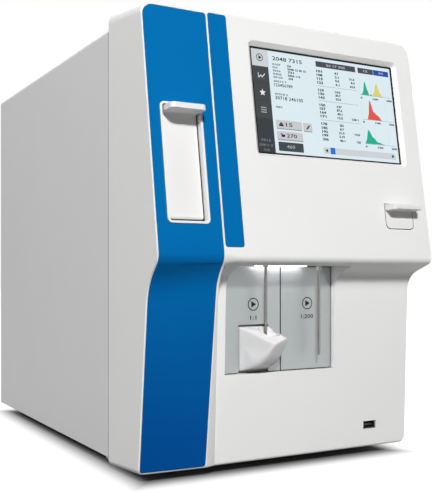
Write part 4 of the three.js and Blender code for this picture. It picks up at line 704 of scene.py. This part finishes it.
# What each ink draws: its layer over the glass, its outlines, and its numbers with left, right, row and size
pageMarks = {
    "paper": (1, [rect(*page["frame"])], []),
    "night": (2, [rect(40, 181, 39, 797)], []),
    "slate": (3, [rect(40, 180, 168, 288), rect(40, 180, 292, 415), rect(40, 180, 420, 548),
                  softRect(210, 425, 710, 777, 5)], []),
    "tile": (3, [rect(40, 186, 39, 165), softRect(605, 1292, 722, 770, 4)], []),
    "header": (3, [rect(607, 978, 63, 107), rect(1002, 1152, 65, 108)], []),
    "deepBlue": (3, [rect(1155, 1305, 65, 108)], []),
    "edge": (2, [softRect(208, 427, 550, 617, 6), softRect(443, 517, 553, 619, 6),
                 softRect(208, 427, 634, 698, 6)], []),
    "button": (3, [softRect(210, 425, 550, 610, 5), softRect(445, 515, 553, 612, 5),
                   softRect(210, 425, 632, 690, 5)], []),
    "thumb": (4, [rect(667, 710, 720, 770)], []),
    "faint": (2, [rect(x, x + 2, top, base) for x in (1000, 1110, 1240)
                  for top, base in ((140, 276), (330, 468), (520, 660))], []),
    "rule": (2, [rect(603, 975, y, y + 3) for y in (252, 366, 512)]
             + [rect(*page["chartAxis"], base, base + 3) for base in page["chartBases"]], []),
    "green": (3, [peak(((1014, 277), (1030, 262), (1057, 172), (1080, 240), (1094, 277))),
                  peak(((1006, 662), (1016, 640), (1047, 553), (1090, 612), (1130, 645), (1205, 660)))], []),
    "red": (3, [peak(((1096, 277), (1110, 264), (1120, 277))),
                peak(((1052, 470), (1062, 440), (1087, 318), (1118, 408), (1150, 430), (1198, 470)))], []),
    "yellow": (4, [peak(((1122, 277), (1136, 255), (1170, 175), (1206, 255), (1228, 277)))], []),
    "soft": (5, [rect(88, 134, y, y + 7) for y in (467, 484, 501)],
             [("24 17 305", 700, 880, 86, 18), ("12", 1056, 1098, 86, 17), ("34", 1206, 1252, 86, 17),
              ("460", 280, 350, 742, 25)]),
    "label": (3, [rect(84, 146, 252, 256)],
              [(text, 217, right, row, 15) for text, right, row in (
                  ("0107", 290, 136), ("024", 262, 160), ("0334", 284, 184), ("0405", 292, 208),
                  ("05126", 298, 232), ("06214 7", 330, 262), ("07318 2", 330, 358), ("081", 270, 454))]
              + [("7815", 62, 150, 708, 18), ("2048 11 15", 48, 165, 743, 18), ("12:48", 84, 130, 778, 17)]),
    "ink": (4, [[(618, 746), (642, 732), (642, 760)], [(1278, 746), (1254, 732), (1254, 760)],
                disc(113, 100, 28), disc(113, 100, 23)],
            [("2048 7315", 222, 482, 92, 30)]
            + [(text, 346, right, row, 17) for text, right, row in (
                ("224", 380, 136), ("2048 12 30 15", 510, 160), ("731", 402, 184), ("5026 114", 455, 208),
                ("418", 388, 232))]
            + [("123456789", 218, 378, 290, 24), ("30718 246105", 217, 460, 386, 26)]
            + [(str(101 + 7 * i), 606, 660, row, 20) for i, row in enumerate(page["rows"])]
            + [rightNumber(text, page["valueRight"], row, 19)
               for text, row in zip(page["values"], page["rows"])]
            + [rightNumber(text, page["secondRight"], row, 18) for row, text in page["seconds"].items()]
            + [midNumber(text, x, row) for row in page["scaleRows"]
               for text, x in (("0", 1012), ("100", 1150), ("200", 1285))]),
    "black": (4, [[(104, 84), (104, 116), (130, 100)], softRect(230, 268, 580, 595, 3),
                  rect(238, 260, 568, 579),
                  [(468, 598), (462, 604), (470, 590), (492, 566), (500, 574), (478, 598)],
                  softRect(242, 274, 655, 673, 3), [(236, 648), (250, 648), (250, 655), (236, 655)]],
              [("15", 288, 346, 580, 28), ("270", 288, 376, 661, 28)]),
    "white": (5, [star(113, 360, 27, 11), [(88, 214), (92, 214), (92, 250), (88, 250)],
                  [(94, 246), (108, 228), (122, 240), (144, 216), (148, 220), (122, 248), (108, 236),
                   (98, 250)]], []),
}


def makePage():
    place = placeOn(page["faceTop"], page["faceLean"])
    for name, (layer, outlines, numbers) in pageMarks.items():
        shapes = [[onPage(x, y) for x, y in outline] for outline in outlines]
        texts = [(text, onPage(x0, y)[0], *onPage(x1, y), size * page["step"])
                 for text, x0, x1, y, size in numbers]
        layPrint(name + "Picture", shapes, texts, place, layer * page["layer"] - page["glass"],
                 inkMaterial(name + "Light", page["inks"][name]), "chassis", page["thick"])
    seal = page["seal"]
    ring = [[onPage(x, y) for x, y in rect(*sides)] for sides in (seal["outer"], page["frame"])]
    layPrint("screenSeal", ring, [], place, seal["lift"] - page["glass"], sealBlack, "chassis",
             seal["thick"])


makePage()
print("screen picture laid")

# Start marks on the two plates: a ring with a play triangle above a plain number
startMark = {
    "plates": {"left": (-31.4, "1:1", 6.6), "right": (27.6, "1:200", 13.8)},  # middle, number and its width
    "height": 148.3, "outer": 5.75, "inner": 4.85, "sides": 48, "lift": 0.02,
    "arrowBack": 2.1, "arrowTip": 3.1, "arrowHalf": 2.9, "numberDrop": 12.0, "numberHeight": 3.8,
}


def makeStartMark(side, x, ratio, wide):
    plate = nodes[f"start_plate_{side}"]
    frontY = min((plate.matrix_world @ v.co).y for v in plate.data.vertices) / mm
    z = startMark["height"]
    rings = [disc(x, z, startMark[key], startMark["sides"]) for key in ("outer", "inner")]
    back = x - startMark["arrowBack"]
    arrow = [(back, z - startMark["arrowHalf"]), (back, z + startMark["arrowHalf"]),
             (x + startMark["arrowTip"], z)]
    caption = (ratio, x - wide / 2, x + wide / 2, z - startMark["numberDrop"], startMark["numberHeight"])
    layPrint(f"startMark{side.title()}", [*rings, arrow], [caption], placeOn((0, frontY, 0), 0),
             startMark["lift"], markPrint, f"start_{side}")


for side, values in startMark["plates"].items():
    makeStartMark(side, *values)
print("start marks laid")

# Painted shadow: a dark strip standing in the gap round the tube door's leaf, along its right edge and under
# its foot, where shade falls.
# Places are across, down the face from its top edge, and in from the face.
doorGapShadow = {
    "left": -131.5, "right": -96.65, "side": 0.45, "top": 93, "foot": 185.9, "footTop": 184.3,
    "front": 5.4, "footFront": 5.9, "back": 8.4, "edge": 0.12, "joint": 0.05,
}


def makeDoorGapShadow():
    inner = doorGapShadow["right"] - doorGapShadow["side"]
    upright = addBlock(inner, doorGapShadow["right"], -doorGapShadow["foot"], -doorGapShadow["top"],
                       -doorGapShadow["back"], -doorGapShadow["front"], doorGapShadow["edge"])
    sill = addBlock(doorGapShadow["left"], inner - doorGapShadow["joint"], -doorGapShadow["foot"], -doorGapShadow["footTop"],
                    -doorGapShadow["back"], -doorGapShadow["footFront"], doorGapShadow["edge"])
    seal = joinParts([upright, sill])
    seal.matrix_world = placeOn(page["faceTop"], page["faceLean"])
    # the strip is painted shadow in the door's gap
    settle(seal, "doorGapShadow", gapShadowBlack, "chassis")


makeDoorGapShadow()
print("door gap shadow laid")

# Tongue of the data socket, with its four contacts
usbTongue = {
    "left": 95.4, "right": 105.6, "low": 28.7, "high": 30.5, "front": -190.6, "back": -178.0, "edge": 0.3,
    "contacts": 4, "contactWidth": 1.1, "contactHeight": 0.25, "contactInset": 1, "contactBack": -182.0,
    "contactEdge": 0.08,
}


def makeUsbTongue():
    left, right, high = usbTongue["left"], usbTongue["right"], usbTongue["high"]
    tongue = addBlock(left, right, usbTongue["front"], usbTongue["back"], usbTongue["low"], high,
                      usbTongue["edge"])
    settle(tongue, "usbTongue", blackPlastic, "chassis")
    pitch = (right - left) / usbTongue["contacts"]
    half, proud = usbTongue["contactWidth"] / 2, usbTongue["contactHeight"]
    strips = []
    for i in range(usbTongue["contacts"]):
        middle = left + (i + 0.5) * pitch
        strips.append(addBlock(middle - half, middle + half, usbTongue["front"] + usbTongue["contactInset"],
                               usbTongue["contactBack"], high - proud / 2, high + proud,
                               usbTongue["contactEdge"], 1))
    settle(joinParts(strips), "usbContacts", contactGold, "chassis")


makeUsbTongue()
print("data socket filled")

# Pan-head screws with a cross recess: one is modelled, and each place gets a copy
screw = {
    "radius": 2.9, "height": 1.6, "edge": 0.7, "edgeSteps": 3, "sides": 28,
    "recess": 0.95, "recessLong": 3.3, "recessDeep": 0.9, "turnEach": 37,
    "rearPlane": 228.0, "basePlane": 11.0, "fanMiddle": (86, 310), "fanHalf": 36,
    "rear": [(x, z) for x in (-133, 133) for z in (32, 140, 260, 376)]
            + [(-60, 385), (0, 385), (60, 385), (-60, 20), (10, 20)],
    "base": [(x, y) for x in (-128, 0, 128) for y in (-50, 70, 150)],
}


def makeScrew():
    bpy.ops.object.select_all(action="DESELECT")
    high = screw["height"] * mm
    bpy.ops.mesh.primitive_cylinder_add(vertices=screw["sides"], radius=screw["radius"] * mm, depth=high,
                                        location=(0, 0, high / 2))
    head = bpy.context.object
    bpy.ops.object.transform_apply(location=True, rotation=True, scale=True)
    bpy.ops.object.mode_set(mode="EDIT")
    shape = bmesh.from_edit_mesh(head.data)
    for edge in shape.edges:  # the rim of the top
        edge.select_set(all(v.co.z > high / 2 for v in edge.verts))
    shape.select_flush_mode()
    bmesh.update_edit_mesh(head.data)
    bpy.ops.mesh.bevel(offset=screw["edge"] * mm, segments=screw["edgeSteps"], affect="EDGES")
    bpy.ops.object.mode_set(mode="OBJECT")
    deep = screw["recessDeep"]
    for long, wide in ((screw["recessLong"], screw["recess"]), (screw["recess"], screw["recessLong"])):
        cutter = addBlock(-long / 2, long / 2, -wide / 2, wide / 2,
                          screw["height"] - deep, screw["height"] + deep)
        applyModifier(head, "BOOLEAN", object=cutter, operation="DIFFERENCE", solver="EXACT")
        bpy.data.objects.remove(cutter)
    return head


def placeScrews(name, model, places, turn):
    copies = []
    for i, place in enumerate(places):
        copy = bpy.data.objects.new(name, model.data.copy())
        scene.collection.objects.link(copy)
        copy.matrix_world = (Matrix.Translation(Vector(place) * mm) @ turn
                             @ Matrix.Rotation(math.radians(screw["turnEach"] * i), 4, "Z"))
        copies.append(copy)
    settle(joinParts(copies), name, zincSteel, "chassis")


screwHead = makeScrew()
backward = Matrix.Rotation(-math.pi / 2, 4, "X")
downward = Matrix.Rotation(math.pi, 4, "X")
fanX, fanZ = screw["fanMiddle"]
fanCorners = [(fanX + a * screw["fanHalf"], fanZ + b * screw["fanHalf"]) for a in (-1, 1) for b in (-1, 1)]
rearPlaces = [(x, screw["rearPlane"], z) for x, z in screw["rear"] + fanCorners]
basePlaces = [(x, y, screw["basePlane"]) for x, y in screw["base"]]
placeScrews("rearScrews", screwHead, rearPlaces, backward)
placeScrews("baseScrews", screwHead, basePlaces, downward)
bpy.data.objects.remove(screwHead)
print("screws placed")

# Plain numbers beside the hose ports and the data sockets
rearMarks = {
    "ports": [(-108 + 22 * i, 86) for i in range(5)], "sockets": [(38, 165 + 26 * i) for i in range(4)],
    "height": 4.0, "plane": 228.0, "lift": 0.02,
}
behind = (Matrix.Translation((0, rearMarks["plane"] * mm, 0)) @ Matrix.Rotation(math.pi, 4, "Z")
          @ Matrix.Rotation(math.pi / 2, 4, "X"))
numbers = [(str(i + 1), -x, None, z, rearMarks["height"])
           for key in ("ports", "sockets") for i, (x, z) in enumerate(rearMarks[key])]
layPrint("rearNumbers", [], numbers, behind, rearMarks["lift"], markPrint, "chassis")
print("rear marks laid")

# Parts inside the case, and the light bar, keep their own meshes and only get a finish
inside = {
    whitePlastic: ["needle_carriage_left", "needle_carriage_right", "piercer_block"],
    blackPlastic: ["lcd_module", "piercer_motor", "needle_motor_left", "needle_motor_right", "start_switches",
                   "syringe_motor", "valve_bank", "vacuum_pump"],
    brightSteel: ["door_hinge_pin", "piercing_needle", "lead_screw_left", "lead_screw_right",
                  "syringe_plungers"],
    zincSteel: ["lcd_bracket", "piercer_guide", "drawer_guide", "plate_carrier", "needle_frame", "mid_wall",
                "chamber_bracket", "power_supply"],
    milkyPlastic: ["counting_chamber_1", "counting_chamber_2", "syringe_block"],
    circuitBoard: ["main_board"],
    lightDiffuser: ["alcove_light"],
}
for material, names in inside.items():
    for nodeName in names:
        nodes[nodeName].data.materials.clear()
        nodes[nodeName].data.materials.append(material)
print("inside finished")
